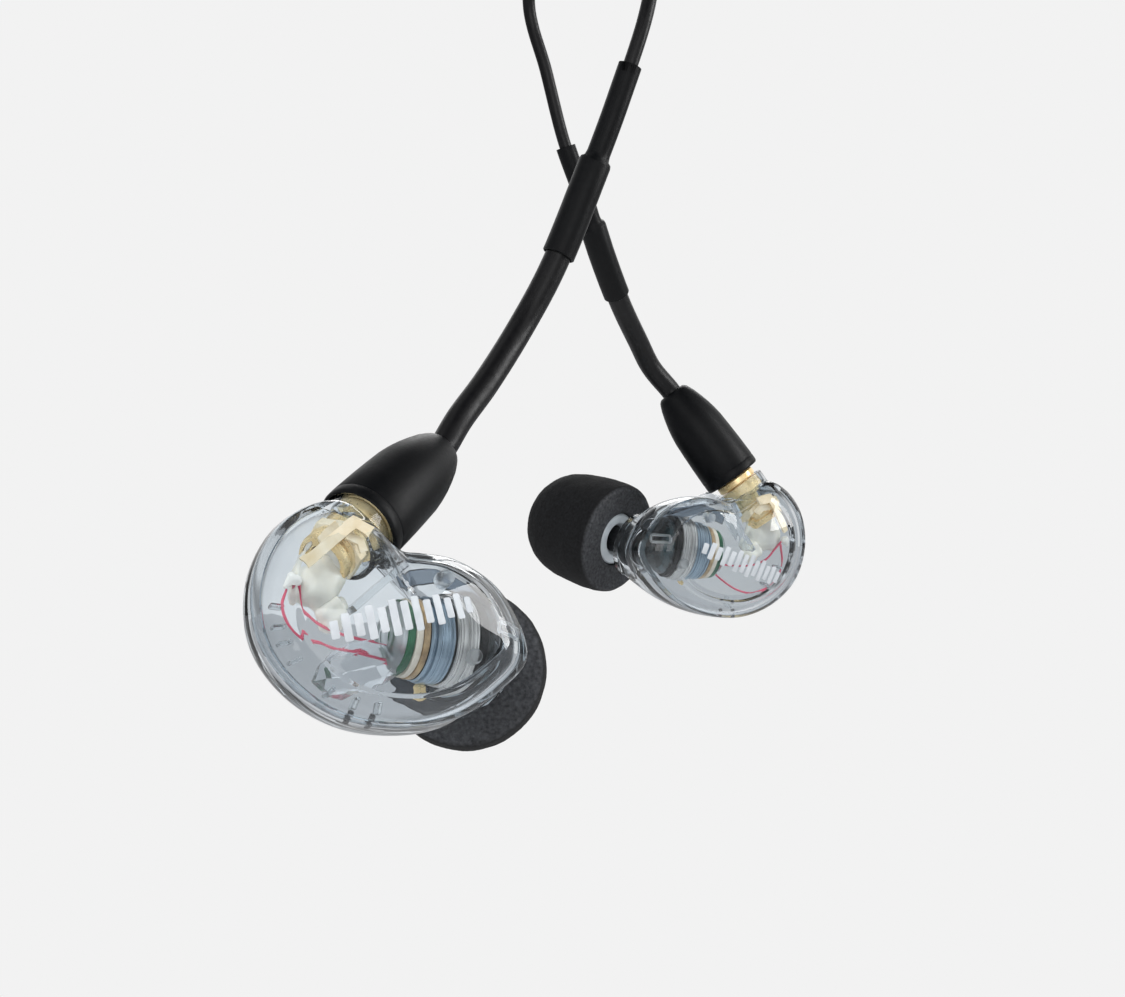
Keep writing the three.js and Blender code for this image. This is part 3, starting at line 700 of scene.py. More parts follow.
def gilt_look(name, dark, light, metallic, low, high):
    look = Look(name, lit(*light), low, Metallic=metallic)
    look.colour_between(look.noise(1.2), lit(*dark), lit(*light))
    look.roughness_between(look.noise(0.5), low, high)
    look.bump(look.noise(0.25), 0.01, 0.5)
    return look.material


def lathed_look(name, dark, light, low, high):
    look = Look(name, lit(*light), low, Metallic=1.0)
    marks = look.rise(0.07)
    look.colour_between(marks, lit(*dark), lit(*light))
    look.roughness_between(marks, low, high)
    look.bump(marks, 0.01, 0.25)
    return look.material


def plastic_look(name, dark, light, low, high, grain_mm, depth_mm, shine=0.5):
    look = Look(name, lit(*light), low, Specular_IOR_Level=shine)
    look.colour_between(look.noise(grain_mm * 4), lit(*dark), lit(*light))
    look.roughness_between(look.noise(grain_mm * 2), low, high)
    look.bump(look.noise(grain_mm), depth_mm, 0.7)
    return look.material


def foam_look():
    """Charcoal foam: a smooth dark moulded skin, and a paler, speckled cut face at the back."""
    look = Look("foam", lit(24, 25, 27), 0.9, Specular_IOR_Level=0.3)
    cut = look.add("ShaderNodeAttribute")
    cut.attribute_name = "cut"
    skin_colour = look.ramp(look.noise(0.3, 5.0), [(0.3, lit(9, 9, 10)), (0.75, lit(24, 25, 27))])
    face_colour = look.ramp(look.noise(0.3, 8.0), [(0.3, lit(42, 43, 45)), (0.76, lit(78, 79, 82))])
    look.link(look.blended("MIX", skin_colour, face_colour, cut.outputs["Fac"]),
              look.shader.inputs["Base Color"])
    look.bump(look.noise(0.1, 6.0), 0.07, 1.0)
    return look.material


def potting_look():
    """Set adhesive: cream grey and milky."""
    look = Look("potting", lit(222, 218, 206), 0.35, Subsurface_Weight=0.3,
                Subsurface_Radius=(1.0, 0.9, 0.75), Subsurface_Scale=0.6 * MM)
    look.colour_between(look.noise(2.2, 2.0), lit(202, 199, 190), lit(232, 227, 212))
    look.bump(look.noise(0.8, 2.0), 0.05, 0.6)
    return look.material


# Tint seen square on, tint seen edge on (partly painted shade), how late it turns, roughness, shadow's tint
# and index.
CLEAR = {
    "clear_plastic": ((0.84, 0.88, 0.91), (0.34, 0.39, 0.43), 2.8, 0.02, (0.93, 0.95, 0.97), 1.44),
    "clear_inner": ((0.85, 0.89, 0.92), (0.36, 0.41, 0.45), 2.8, 0.02, (0.95, 0.97, 0.98), 1.3),
    "clear_part": ((0.9, 0.93, 0.94), (0.4, 0.45, 0.49), 2.0, 0.05, (0.93, 0.95, 0.96)),
    "smoke_plastic": ((0.16, 0.25, 0.28), (0.02, 0.035, 0.04), 1.2, 0.05, (0.35, 0.45, 0.48)),
    "gel": ((0.93, 0.95, 0.97), (0.5, 0.53, 0.6), 1.6, 0.16, (0.97, 0.98, 0.99), 1.35),
    "slate": ((0.3, 0.35, 0.41), (0.1, 0.12, 0.15), 1.4, 0.08, (0.4, 0.45, 0.5), 1.2),
    "frosted": ((0.93, 0.95, 0.96), (0.7, 0.74, 0.77), 2.0, 0.32, (0.95, 0.96, 0.97)),
}
# Darkest and lightest colour, share of metal, least and most roughness.
GILT = {
    "gold": ((238, 206, 146), (252, 230, 182), 0.6, 0.2, 0.4),
    "pale_gold": ((232, 210, 168), (250, 236, 208), 0.3, 0.34, 0.52),
}
# Darkest and lightest colour, least and most roughness.
LATHED = {
    "silver": ((168, 166, 164), (226, 224, 220), 0.2, 0.4),
    "can_blue": ((120, 138, 152), (176, 194, 208), 0.24, 0.42),
    "magnet_iron": ((88, 90, 94), (130, 132, 136), 0.3, 0.5),
}
# Darkest and lightest colour, least and most roughness, size and depth of the grain, shine.
PLASTIC = {
    "black_plastic": ((6, 7, 9), (11, 12, 14), 0.35, 0.5, 0.2, 0.012, 0.3),
    "black_rubber": ((2, 3, 5), (6, 7, 9), 0.42, 0.5, 0.14, 0.01, 0.18),
    "cable_black": ((3, 3, 5), (7, 7, 9), 0.36, 0.48, 0.3, 0.012, 0.3),
    "grey_core": ((178, 185, 190), (200, 206, 210), 0.45, 0.6, 0.4, 0.01),
    "white_plastic": ((214, 210, 200), (238, 235, 226), 0.4, 0.5, 0.4, 0.01),
    "cream_spacer": ((196, 186, 168), (226, 216, 200), 0.4, 0.55, 0.3, 0.01),
    "tan_winding": ((128, 104, 74), (190, 162, 120), 0.3, 0.45, 0.2, 0.02),
    "board_green": ((20, 66, 44), (44, 104, 70), 0.3, 0.45, 0.3, 0.01),
    "wire_red": ((186, 52, 84), (220, 88, 112), 0.3, 0.4, 0.3, 0.01),
    "mark_silver": ((184, 189, 194), (200, 205, 209), 0.4, 0.5, 0.3, 0.004),
    # Painted shade: the near-black of two slits on the parting seam.
    "dark_slot": ((10, 12, 14), (24, 27, 31), 0.3, 0.5, 0.3, 0.01),
}
LOOKS = {"foam": foam_look(), "potting": potting_look()}
MAKERS = ((clear_look, CLEAR), (gilt_look, GILT), (lathed_look, LATHED), (plastic_look, PLASTIC))
for maker, table in MAKERS:
    for look_name, values in table.items():
        LOOKS[look_name] = maker(look_name, *values)


# ---- One monitor ----

def housing_shells(side):
    place, body = PLACE[side], side + "_housing"
    collar_space = rod(COLLAR_RADIUS + SEAM_GAP, -COLLAR_LENGTH - 0.3, CUT_REACH, soft=0)
    seat_inside = COLLAR_RADIUS + SEAM_GAP / 2
    boot_seat = on_connector(tube(BOOT_SEAT_RADIUS, seat_inside, -BOOT_SEAT_DEPTH, CUT_REACH, soft=0))
    built(side + "_clear_outer", outer_shape(), [
        ("DIFFERENCE", on_connector(collar_space)),
        ("DIFFERENCE", boot_seat),
    ], place, body, "clear_plastic", side + "_outer_shell", 32)
    collar = turned([
        (COLLAR_BORE + 0.15, -COLLAR_LENGTH), (COLLAR_RADIUS, -COLLAR_LENGTH),
        (COLLAR_RADIUS, -0.02), (COLLAR_BORE + 0.15, -0.02),
    ], soft=0.12)
    built(side + "_clear_inner", inner_shape(), [
        ("UNION", on_connector(collar)),
        ("DIFFERENCE", on_connector(rod(COLLAR_RADIUS + 1, 0, CUT_REACH, soft=0))),
        ("DIFFERENCE", boot_seat),
        ("DIFFERENCE", on_connector(rod(COLLAR_BORE, -JACK_DEPTH - 0.4, CUT_REACH, soft=0))),
    ], place, body, "clear_inner", side + "_inner_shell", 32)


def jack(side):
    add = on_housing(side)
    barrel = turned([
        (1.5, -JACK_DEPTH), (1.85, -JACK_DEPTH), (2.0, -5.0), (2.0, -4.55), (1.78, -4.45), (1.78, -4.1),
        (2.0, -4.0), (2.0, -3.3), (1.85, -3.2), (1.85, -2.9), (2.0, -2.8), (2.0, -1.4),
        (2.35, -1.4), (2.35, -0.1), (1.5, -0.1),
    ], soft=0.05)
    add("jack_body", on_connector(barrel), "gold", node="jack_barrel", along=(COLLAR_POINT, COLLAR_AXIS))
    nut = turned([(2.02, -4.0), (2.4, -3.85), (2.4, -3.05), (2.02, -2.9)], 6, 0.03)
    add("jack_nut", on_connector(nut, 0.4), "pale_gold", "gold", sharp=25)
    insulator = tube(1.46, 0.5, -JACK_DEPTH + 0.1, -JACK_DEPTH + 1.3)
    add("jack_disc", on_connector(insulator), "white_plastic", node="jack_insulator")
    contact = turned([
        (0, -6.1), (0.3, -6.1), (0.42, -5.9), (0.42, -2.9), (0.3, -2.9), (0.3, -4.1), (0, -4.1),
    ], 40, 0.04)
    add("jack_pin", on_connector(contact), "gold", node="jack_contact")
    solder_tab(add)


def strap(path, width, thickness, face):
    """A flat metal strap folded at each point; face is roughly the way its broad side looks."""
    points = [Vector(p) for p in path]
    rings = []
    for i, point in enumerate(points):
        before = (point - points[max(i - 1, 0)]).normalized()
        after = (points[min(i + 1, len(points) - 1)] - point).normalized()
        along = (before + after).normalized()
        across = along.cross(face).normalized()
        out = across.cross(along)
        leg = before if point is points[-1] else after
        half = width / 2 / max(leg.dot(along), 0.4)
        rings.append([point + across * (a * half) + out * (b * thickness / 2) for a, b in CORNERS])
    return skin(rings)


def solder_tab(add):
    """A folded strap leads from the jack's back to the wires, with a white bead at its end."""
    face = Vector((0, -1, 0.1))
    legs = {
        "solder_tab": ([(-2.9, 0.9, 5.5), (-4.1, 0.72, 6.15), (-7.35, 1.5, 2.9)], 0.8, 0.3),
        "solder_foot": ([(-4.55, 1.15, 5.2), (-3.5, 1.1, 4.85), (-3.15, 1.25, 4.2)], 0.6, 0.26),
        "solder_rail": ([(-5.1, 1.5, 5.9), (-6.3, 1.6, 4.6)], 0.5, 0.3),
    }
    for name, (path, width, thickness) in legs.items():
        add(name, strap(path, width, thickness, face), "pale_gold", "gold", sharp=25)
    bead = turned([(0, -0.9), (0.12, -0.9), (0.5, 0), (0.42, 0.3), (0, 0.4)], 32, 0.08)
    axis = Vector((0.6, -0.1, 0.75)).normalized()
    add("solder_bead", on_axis(bead, Vector((-7.9, 2.2, 1.9)), axis), "white_plastic")


def adhesive(side):
    """Set adhesive holds the jack's back and the wires' ends; each unit got its own amount."""
    add = on_housing(side)
    lean = Matrix.Rotation(math.radians(28), 3, "Y")
    lump = blob(Vector((-5.7, 3.5, 2.5)), (2.0, 1.4, 2.5), lean, 0.22, 3.0)
    add("potting", lump, "potting", "white_plastic")
    lump = blob(Vector((-4.6, 3.4, 0.0)), (1.2, 1.0, 1.3), lean, 0.3, 7.0)
    add("potting_low", lump, "potting", "white_plastic")
    seal = turned([(0.9, -0.05), (2.6, -0.05), (2.45, -0.4), (1.5, -0.75), (0.9, -0.8)], 40, 0.1)
    add("driver_seal_ring", on_driver(seal), "frosted", "clear_plastic")
    if side == "left":
        turn = Matrix.Rotation(math.radians(-18), 3, "Y")
        gel = blob(Vector((-2.6, 3.3, -3.9)), (3.4, 0.8, 1.9), turn, 0.5, 11.0, 12)
        add("clear_gel", gel, "gel", "clear_plastic", sharp=6)


def wires(side):
    add = on_housing(side)
    runs = {
        "left": {
            "live_wire": [(-7.7, 2.3, 1.9), (-7.45, 2.6, 0.9), (-7.0, 2.9, 0.0), (-6.0, 3.0, -0.75),
                          (-4.6, 3.1, -1.3), (-2.0, 3.4, -1.7), (0.1, 3.5, -2.0)],
            "return_wire": [(-8.1, 2.8, 1.3), (-8.35, 3.0, 0.2), (-7.8, 3.1, -1.1), (-6.7, 3.1, -1.9),
                            (-4.9, 3.2, -2.4), (-2.2, 3.8, -2.8), (0.05, 4.3, -3.1)],
        },
        "right": {
            "live_wire": [(-7.7, 2.3, 1.9), (-7.2, 2.8, 0.6), (-6.6, 3.1, -0.6), (-5.0, 3.3, -1.6),
                          (-2.0, 3.5, -2.1), (0.1, 3.5, -2.0)],
            "return_wire": [(-8.1, 3.2, 1.3), (-9.2, 3.7, -1.8), (-8.4, 3.9, -3.7), (-6.2, 4.0, -4.75),
                            (-4.0, 4.0, -4.7), (-1.8, 4.0, -3.9), (0.05, 4.0, -2.9)],
        },
    }
    for name, points in runs[side].items():
        add(name + "_fine", cord_through(points, 0.11), "wire_red", node=name)


def driver(side):
    """The driver's layers, from its terminal board to the gasket."""
    add = on_housing(side)
    can = turned([
        (0.8, 1.58), (3.05, 1.58), (3.12, 1.7), (3.12, 1.86), (3.02, 1.9), (3.02, 2.0), (3.22, 2.06),
        (3.25, 2.2), (3.25, 3.0), (3.16, 3.05), (3.16, 3.12), (3.25, 3.17), (3.25, 3.4), (2.85, 3.4),
        (2.85, 1.8), (0.8, 1.8),
    ], 96, 0.03)
    ring = turned([
        (2.85, 3.5), (3.38, 3.5), (3.5, 3.62), (3.5, 4.2), (3.4, 4.26), (3.4, 4.36), (3.5, 4.42),
        (3.5, 5.12), (3.4, 5.25), (3.18, 5.25), (3.18, 4.1), (2.85, 4.1),
    ], 96, 0.03)
    gasket = turned([
        (2.9, 5.3), (3.3, 5.3), (3.4, 5.4), (3.4, 5.94), (3.3, 6.04), (2.9, 6.04),
    ], 96, 0.05)
    layers = {
        "board_disc": (tube(2.75, 0.6, 0, 0.5, soft=0.04), "board_green", None, "terminal_board"),
        "driver_spacer": (tube(2.92, 0.9, 0.56, 1.04), "cream_spacer", "white_plastic", None),
        "driver_winding": (tube(3.02, 0.9, 1.08, 1.52), "tan_winding", "gold", None),
        "driver_cup": (can, "can_blue", "silver", "driver_can"),
        "driver_ring": (ring, "silver", None, "driver_frame"),
        "driver_seal": (gasket, "black_rubber", None, "gasket"),
    }
    for name, (shape, look, slot, node) in layers.items():
        add(name, on_driver(shape), look, slot, node, along=(DRIVER_POINT, DRIVER_AXIS))
    dress(side + "_magnet", "magnet_iron")
    cone = turned([
        (0, 4.9), (1.1, 4.82), (2.05, 4.55), (2.05, 2.3), (2.25, 2.3), (2.25, 4.45),
        (3.08, 4.5), (3.08, 4.64), (2.7, 4.78), (2.3, 4.7), (1.2, 4.97), (0, 5.05),
    ], 72, 0.04)
    ride = adder(side + "_", PLACE[side], side + "_cone")
    ride("cone", on_driver(cone), "white_plastic", node="diaphragm")


def front_chamber(side):
    """The dark elbow that turns the sound path from the driver's axis to the nozzle's."""
    def rim(point, axis, radius, height):
        across = Vector((0, 0, 1)).cross(axis).normalized()
        return circle(point + axis * height, across, axis.cross(across), radius, 72)

    def elbow(wall_side, over):
        """A round mouth with an eased rim, drawn together onto a short rod at the nozzle."""
        mouth, out = CHAMBER_MOUTH[wall_side], CHAMBER_EXIT[wall_side]
        return hull_of([
            *rim(DRIVER_POINT, DRIVER_AXIS, mouth, CHAMBER_START - over),
            *rim(DRIVER_POINT, DRIVER_AXIS, mouth, CHAMBER_START + 0.4),
            *rim(DRIVER_POINT, DRIVER_AXIS, mouth - 0.1, CHAMBER_START + 0.62),
            *rim(NOZZLE_POINT, NOZZLE_AXIS, out, CHAMBER_END - 0.3),
            *rim(NOZZLE_POINT, NOZZLE_AXIS, out, CHAMBER_END + over),
        ])

    built(side + "_chamber", elbow("outside", 0), [
        ("DIFFERENCE", elbow("inside", 0.2)),
        ("DIFFERENCE", on_driver(rod(6, 0, CHAMBER_START, soft=0))),
    ], PLACE[side], side + "_housing", "smoke_plastic", side + "_front_chamber", 30)
    chamber_window(on_housing(side))


def chamber_window(add):
    """A small frosted frame on the chamber's outer side is a painted highlight: it stands for a small
    rectangular highlight on the dark chamber.
    """
    rounded = softened([Vector((a * 1.05, 0, b * 0.38)) for a, b in CORNERS], 0.22, True)
    count = len(rounded)
    rings = []
    for i, point in enumerate(rounded):
        along = (rounded[(i + 1) % count] - rounded[i - 1]).normalized()
        rings.append(circle(point, along.cross(Vector((0, 1, 0))), Vector((0, 1, 0)), 0.12, 10))
    turn = Matrix.Rotation(math.radians(30), 3, "Z") @ Matrix.Rotation(math.radians(8), 3, "Y")
    at = Vector((8.2, 1.5, -0.4))
    points, faces = skin(rings, loop=True)
    add("chamber_window", ([at + turn @ p for p in points], faces), "frosted", "clear_plastic")


def nozzle(side):
    add = on_housing(side)
    along = (NOZZLE_POINT, NOZZLE_AXIS)
    spout = turned([
        (1.1, -0.6), (2.05, -0.6), (2.05, 1.25), (1.6, 1.4), (NOZZLE_RADIUS, 1.6),
        (NOZZLE_RADIUS, NOZZLE_LENGTH - 1.5), (1.34, NOZZLE_LENGTH - 1.4), (1.34, NOZZLE_LENGTH - 1.0),
        (1.47, NOZZLE_LENGTH - 0.85), (1.47, NOZZLE_LENGTH), (1.1, NOZZLE_LENGTH),
    ], 64, 0.04)
    add("spout", on_nozzle(spout), "black_plastic", node="nozzle", along=along)
    screen = turned([
        (0, NOZZLE_LENGTH - 0.6), (1.05, NOZZLE_LENGTH - 0.6), (1.05, NOZZLE_LENGTH - 0.45),
        (0.6, NOZZLE_LENGTH - 0.33), (0, NOZZLE_LENGTH - 0.3),
    ], 48, 0.03)
    add("screen", on_nozzle(screen), "silver", node="nozzle_mesh", along=along)


def inner_details(side):
    """Clear locating posts, the wall between lobe and body, a vent screen and two near-black blocks that
    paint the shade inside two slits on the seam.
    """
    add = on_housing(side)
    inward = Vector((0, 1, 0))
    for number, (x, z) in enumerate(((3.03, 2.8), (5.36, -2.6))):
        post = turned([(0, 0), (0.5, 0), (0.55, 0.3), (0.62, 1.2), (0.45, 1.5), (0, 1.55)], 40, 0.1)
        start = Vector((x, face_at(x, z) + WALL + 0.02, z))
        add(f"post_{number + 1}", on_axis(post, start, inward), "frosted", "clear_plastic")
    course = [(0.1, 2.6, 3.7), (-1.6, 2.5, 2.1), (-3.6, 2.5, 0.1)]
    wall = strap(course, 2.4, 0.5, Vector((0.75, 0, -0.65)))
    add("inner_wall", wall, "clear_part", "clear_plastic", sharp=25)
    # The shade strip is painted shade: a dark slate band laid where a dark streak crosses the housing.
    course = [(0.2, 2.7, 2.9), (3.0, 2.75, 3.5), (6.2, 3.0, 2.5), (8.0, 3.4, 0.9)]
    shade = strap(course, 1.1, 0.25, Vector((0, -1, 0.2)))
    add("shade_strip", shade, "slate", "smoke_plastic", sharp=25)
    vent = turned([(0, 0), (0.5, 0), (0.5, 0.12), (0.3, 0.16), (0, 0.16)], 40, 0.03)
    add("vent_screen", on_axis(vent, Vector((2.9, 5.0, -4.6)), -inward), "gold")
    # Two near-black blocks paint the shade inside two slits on the parting seam.
    slit_block_axis = Vector((0.3, -0.25, 0.92)).normalized()
    for number, (x, z) in enumerate(((-3.2, -7.25), (-1.6, -7.4))):
        slit_block = on_axis(slab((0.42, 0.3, 1.1), 0.06), Vector((x, 2.9, z)), slit_block_axis)
        add(f"snap_lug_{number + 1}", slit_block, "dark_slot", "smoke_plastic", sharp=25)
    weld_ribs(side, add)


def weld_ribs(side, add):
    """Short clear ribs inside the lower edge locate the two shells on each other."""
    shares = {"left": (0.53, 0.56, 0.59, 0.62, 0.69, 0.73, 0.77), "right": (0.56, 0.62, 0.73)}
    for number, share in enumerate(shares[side]):
        rim = outline[round(share * OUTLINE_COUNT)]
        out = Vector((rim.x, 0, rim.z)).normalized()
        at = rim * (1 - RIB_INSET / OUTLINE_REACH) + Vector((0, RIB_DEPTH, 0))
        rib = on_axis(slab((0.3, 1.2, 1.0), 0.08), at, out)
        add(f"weld_rib_{number + 1}", rib, "clear_part", "clear_plastic", sharp=25)


def sound_bars(side):
    """A row of plain bars of different heights is printed on the face where the name was."""
    add = on_housing(side)
    heights = (1.3, 2.0, 1.6, 2.4, 1.8, 2.6, 2.1, 2.5, 1.7, 2.2, 1.5, 1.9, 1.2)
    middle = {"left": Vector((-0.65, 0, -0.6)), "right": Vector((-1.2, 0, -1.5))}[side]
    lean = math.radians({"left": 15.8, "right": 10.5}[side])
    along = Vector((math.cos(lean), 0, math.sin(lean)))
    up = Vector((-along.z, 0, along.x))
    for number, height in enumerate(heights):
        centre = middle + along * (BAR_PITCH * (number - (len(heights) - 1) / 2))
        bar = printed_bar(centre, along, up, BAR_WIDTH, height)
        add(f"bar_{number + 1}", bar, "mark_silver", "silver")


def printed_bar(centre, along, up, width, height):
    """A thin bar that follows the dome of the face."""
    corners = [Vector((a * width / 2, b * height / 2)) for a, b in CORNERS]
    rings = []
    for shrink, lift in ((1.0, -0.01), (1.0, 0.05), (0.9, 0.07)):
        ring = []
        for p in softened(corners, 0.14, True):
            at = centre + along * (p.x * shrink) + up * (p.y * shrink)
            ring.append(Vector((at.x, face_at(at.x, at.z) - lift, at.z)))
        rings.append(ring)
    return skin(rings)


def foam_tip():
    """The foam bullet: a dense turned skin whose surface is broken up by fine open cells."""
    dome_start = 5.4
    profile = [
        (CORE_RADIUS + 0.06, 1.0), (CORE_FLANGE_RADIUS + 0.06, 0.9), (CORE_FLANGE_RADIUS + 0.06, 0.1),
        (3.2, 0.0), (5.95, 0.0), (6.28, 0.24), (6.42, 1.2), (TIP_RADIUS, 2.8), (6.4, 4.6),
    ]
    for turn in (10, 25, 40, 55, 68, 80):
        angle = math.radians(turn)
        profile.append((CORE_RADIUS + 4.1 * math.cos(angle),
                        dome_start + (TIP_LENGTH - dome_start) * math.sin(angle)))
    profile.append((CORE_RADIUS + 0.06, TIP_LENGTH - 0.2))
    course = Path([Vector((r, 0, h)) for r, h in eased(profile)], 0.12)
    sides = 260
    rings = []
    for p in course.points[:-1]:
        rings.append([open_cells(q) for q in level_circle(p.z, p.x, sides)])
    return skin(rings, loop=True)


def eased(profile):
    corners = [Vector((r, h)) for r, h in profile]
    ring = softened(corners, 0.22, True)
    return [*ring, ring[0]]


def open_cells(point):
    """Foam's surface sinks into small cells and swells a little between them."""
    cut = cut_share(point)
    fine = (noise.noise(point * 3.1) * 0.03 + noise.noise(point * 6.3) * 0.03) * (0.5 + cut)
    broad = noise.noise(point * 0.6) * 0.05
    out = Vector((point.x, point.y, 0))
    if out.length < 1e-6:
        return point
    reach = min(1.0, max(0.0, (out.length - 3.2) / 1.5))
    return point + out.normalized() * (fine + broad) * reach + Vector((0, 0, fine * 0.8 * reach))


def cut_share(point):
    """How far a place belongs to the cut back face rather than the moulded skin."""
    return min(1.0, max(0.0, (0.34 - point.z) / 0.3))


def on_tip(shape):
    """A shape built about +z from the tip's back face."""
    return on_nozzle(([p + Vector((0, 0, TIP_START)) for p in shape[0]], shape[1]))


def ear_tip(side):
    add = adder(side + "_", PLACE[side], side + "_tip")
    recess = 0.15
    flange = recess + 0.8
    core = turned([
        (CORE_BORE, recess + 0.5), (1.95, recess), (CORE_FLANGE_RADIUS - 0.25, recess),
        (CORE_FLANGE_RADIUS, recess + 0.25), (CORE_FLANGE_RADIUS, flange), (CORE_RADIUS, flange),
        (CORE_RADIUS, TIP_LENGTH - 1.6), (CORE_BORE, TIP_LENGTH - 1.6),
    ], 72, 0.08)
    add("core", on_tip(core), "grey_core", node="tip_core")
    shape = foam_tip()
    foam = add("foam", on_tip(shape), "foam", node="tip_foam", sharp=80)
    cut = foam.data.attributes.new("cut", "FLOAT", "POINT")
    cut.data.foreach_set("value", [cut_share(p) for p in shape[0]])


def cable_plug(side):
    add = adder(side + "_", PLACE[side], "cable")
    shell = turned([
        (0.75, -2.4), (1.3, -2.4), (1.45, -2.25), (1.45, -1.85), (1.24, -1.85), (1.24, -1.35),
        (1.45, -1.35), (1.45, 0.05), (2.2, 0.05), (2.33, 0.18), (2.33, 0.78), (2.2, 0.9), (1.9, 0.9),
        (1.9, PLUG_END), (0.75, PLUG_END),
    ], 80, 0.04)
    add("plug_body", on_connector(shell), "gold", node="plug_shell", along=(COLLAR_POINT, COLLAR_AXIS))
    sleeve = tube(0.7, 0.3, -2.0, 3.0, 40)
    add("plug_sleeve", on_connector(sleeve), "white_plastic", node="plug_insulator")
    pin = turned([(0, -3.5), (0.1, -3.5), (0.24, -3.3), (0.24, 3.6), (0, 3.6)], 32, 0.03)
    add("plug_needle", on_connector(pin), "gold", node="plug_pin")
    dress(side + "_snap_ring", "gold")


def boot(side):
    """The boot is slightly oval, nearly straight at the rim and drawn in to the cable."""
    wide = (BOOT_WIDE_AXIS - COLLAR_AXIS * BOOT_WIDE_AXIS.dot(COLLAR_AXIS)).normalized()
    narrow = COLLAR_AXIS.cross(wide)
    start = BOOT_START[side]
    end = start + BOOT_LENGTH
    mouth_end = start + BOOT_MOUTH_DEPTH
    swell = [
        (start, 0.985), (start + 0.1, 1.015), (start + 0.28, 1.03), (start + 0.9, 1.035),
        (start + 1.0, 1.02), (start + 1.12, 1.035), (start + 3.5, 1.02), (start + 5.2, 1.0),
        (end - 5.2, 0.975), (end - 4.2, 0.935), (end - 3.2, 0.875), (end - 2.2, 0.795),
        (end - 1.2, 0.7), (end - 0.6, 0.62), (end - 0.3, 0.575), (end - 0.08, 0.5), (end, 0.46),
    ]

    def ring(distance, wide_radius, narrow_radius, sides=96):
        turns = (2 * math.pi * i / sides for i in range(sides))
        centre = connector_point(distance)
        return [centre + wide * wide_radius * math.cos(t) + narrow * narrow_radius * math.sin(t)
                for t in turns]

    bore = THICK_RADIUS + BOOT_ROOM
    plug_bore = 2.05
    rings = [ring(at, BOOT_WIDE * share, BOOT_NARROW * share) for at, share in swell]
    inside = [
        (end, bore * 1.08), (end - 1.5, bore), (PLUG_END + 0.5, bore), (PLUG_END + 0.3, plug_bore),
        (mouth_end, plug_bore), (mouth_end - 0.2, BOOT_MOUTH_RADIUS), (start, BOOT_MOUTH_RADIUS),
    ]
    rings += [ring(at, radius, radius) for at, radius in inside]
    add = adder(side + "_", PLACE[side], "cable")
    add("boot_moulding", skin(rings, loop=True), "black_rubber", node="boot")


def dress(node, slot):
    """A CAD node that is shown as it is takes its own look."""
    obj = frame["nodes"][node]
    obj.data.materials.clear()
    obj.data.materials.append(LOOKS[slot])
    obj.data.shade_smooth()
    obj.data.set_sharp_from_angle(angle=math.radians(30))


# ---- The cable ----

def branch_path(side):
    """The course of one cable from inside its boot to the splitter, in the hanging frame."""
    to_hang = HANG.inverted() @ PLACE[side]
    boot_end = BOOT_START[side] + BOOT_LENGTH
    starts = (CABLE_START, boot_end - 2, boot_end - 0.2, boot_end + 0.4)
    lane = TWIN_SPACING / 2 * (1 if side == "left" else -1)
    heights = (TWIN_BOTTOM - 3, TWIN_BOTTOM, TWIN_BOTTOM + 3, SPLITTER_BOTTOM - 5, SPLITTER_BOTTOM + 1.2)
    points = [to_hang @ connector_point(at) for at in starts]
    points += [Vector(p) for p in WAYPOINTS[side]]
    points += [Vector((TWIN_AT[0] + lane, TWIN_AT[1], z)) for z in heights]
    return Path(centripetal(points, False))


def branch(side):
    course = branch_path(side)
    start = SLEEVE_START[side]
    step_at = start + SLEEVE_STEP
    end = start + SLEEVE_LENGTH
    thick_bore = THICK_RADIUS + SLEEVE_FIT
    thin_bore = THIN_RADIUS + SLEEVE_FIT
    wide = thick_bore + SLEEVE_WALL
    slim = thin_bore + SLEEVE_WALL + 0.1
    outside = [(start, wide - 0.08), (start + 0.08, wide)]
    outside += [(start + 0.8 * k, wide) for k in range(1, 8)]
    outside += [(step_at - 0.45, wide), (step_at - 0.2, wide - 0.06), (step_at, wide - 0.3),
                (step_at + 0.25, slim + 0.04), (step_at + 0.5, slim)]
    outside += [(step_at + 0.5 + 0.8 * k, slim) for k in range(1, 11)]
    outside += [(end - 0.08, slim), (end, slim - 0.08)]
    inside = [(end, thin_bore)]
    inside += [(end - 0.8 * k, thin_bore) for k in range(1, 11)]
    inside += [(step_at + 0.2, thin_bore), (step_at - 0.4, thick_bore)]
    inside += [(step_at - 0.4 - 0.8 * k, thick_bore) for k in range(1, 8)]
    inside += [(start, thick_bore)]
    rings = [course.ring(at, radius, 40) for at, radius in outside + inside]
    add = adder(side + "_", HANG, "cable")
    thick = course.cord(0, step_at - 0.6, THICK_RADIUS)
    add("thick_cable", thick, "cable_black", node="formable_cable")
    slender = course.cord(step_at + 0.3, course.length, THIN_RADIUS)
    add("slim_cable", slender, "cable_black", node="thin_cable")
    add("sleeve", skin(rings, loop=True), "black_rubber", node="shrink_sleeve")


def oval_block(half_x, half_y, bottom, height, edge, top_share=1.0, grooves=()):
    """An oval block about the twin cables with rounded ends and shallow grooves."""
    top = bottom + height
    levels = [(bottom, edge), (bottom + edge * 0.3, edge * 0.3), (bottom + edge, 0)]
    for at in grooves:
        levels += [(at - 0.3, 0), (at - 0.15, 0.12), (at + 0.15, 0.12), (at + 0.3, 0)]
    levels += [(top - edge, 0), (top - edge * 0.3, edge * 0.3), (top, edge)]
    rings = []
    for z, inset in levels:
        share = 1 + (top_share - 1) * (z - bottom) / height
        turns = (2 * math.pi * i / 72 for i in range(72))
        rings.append([Vector((TWIN_AT[0] + (half_x * share - inset) * math.cos(t),
                              TWIN_AT[1] + (half_y - inset) * math.sin(t), z)) for t in turns])
    return skin(rings)


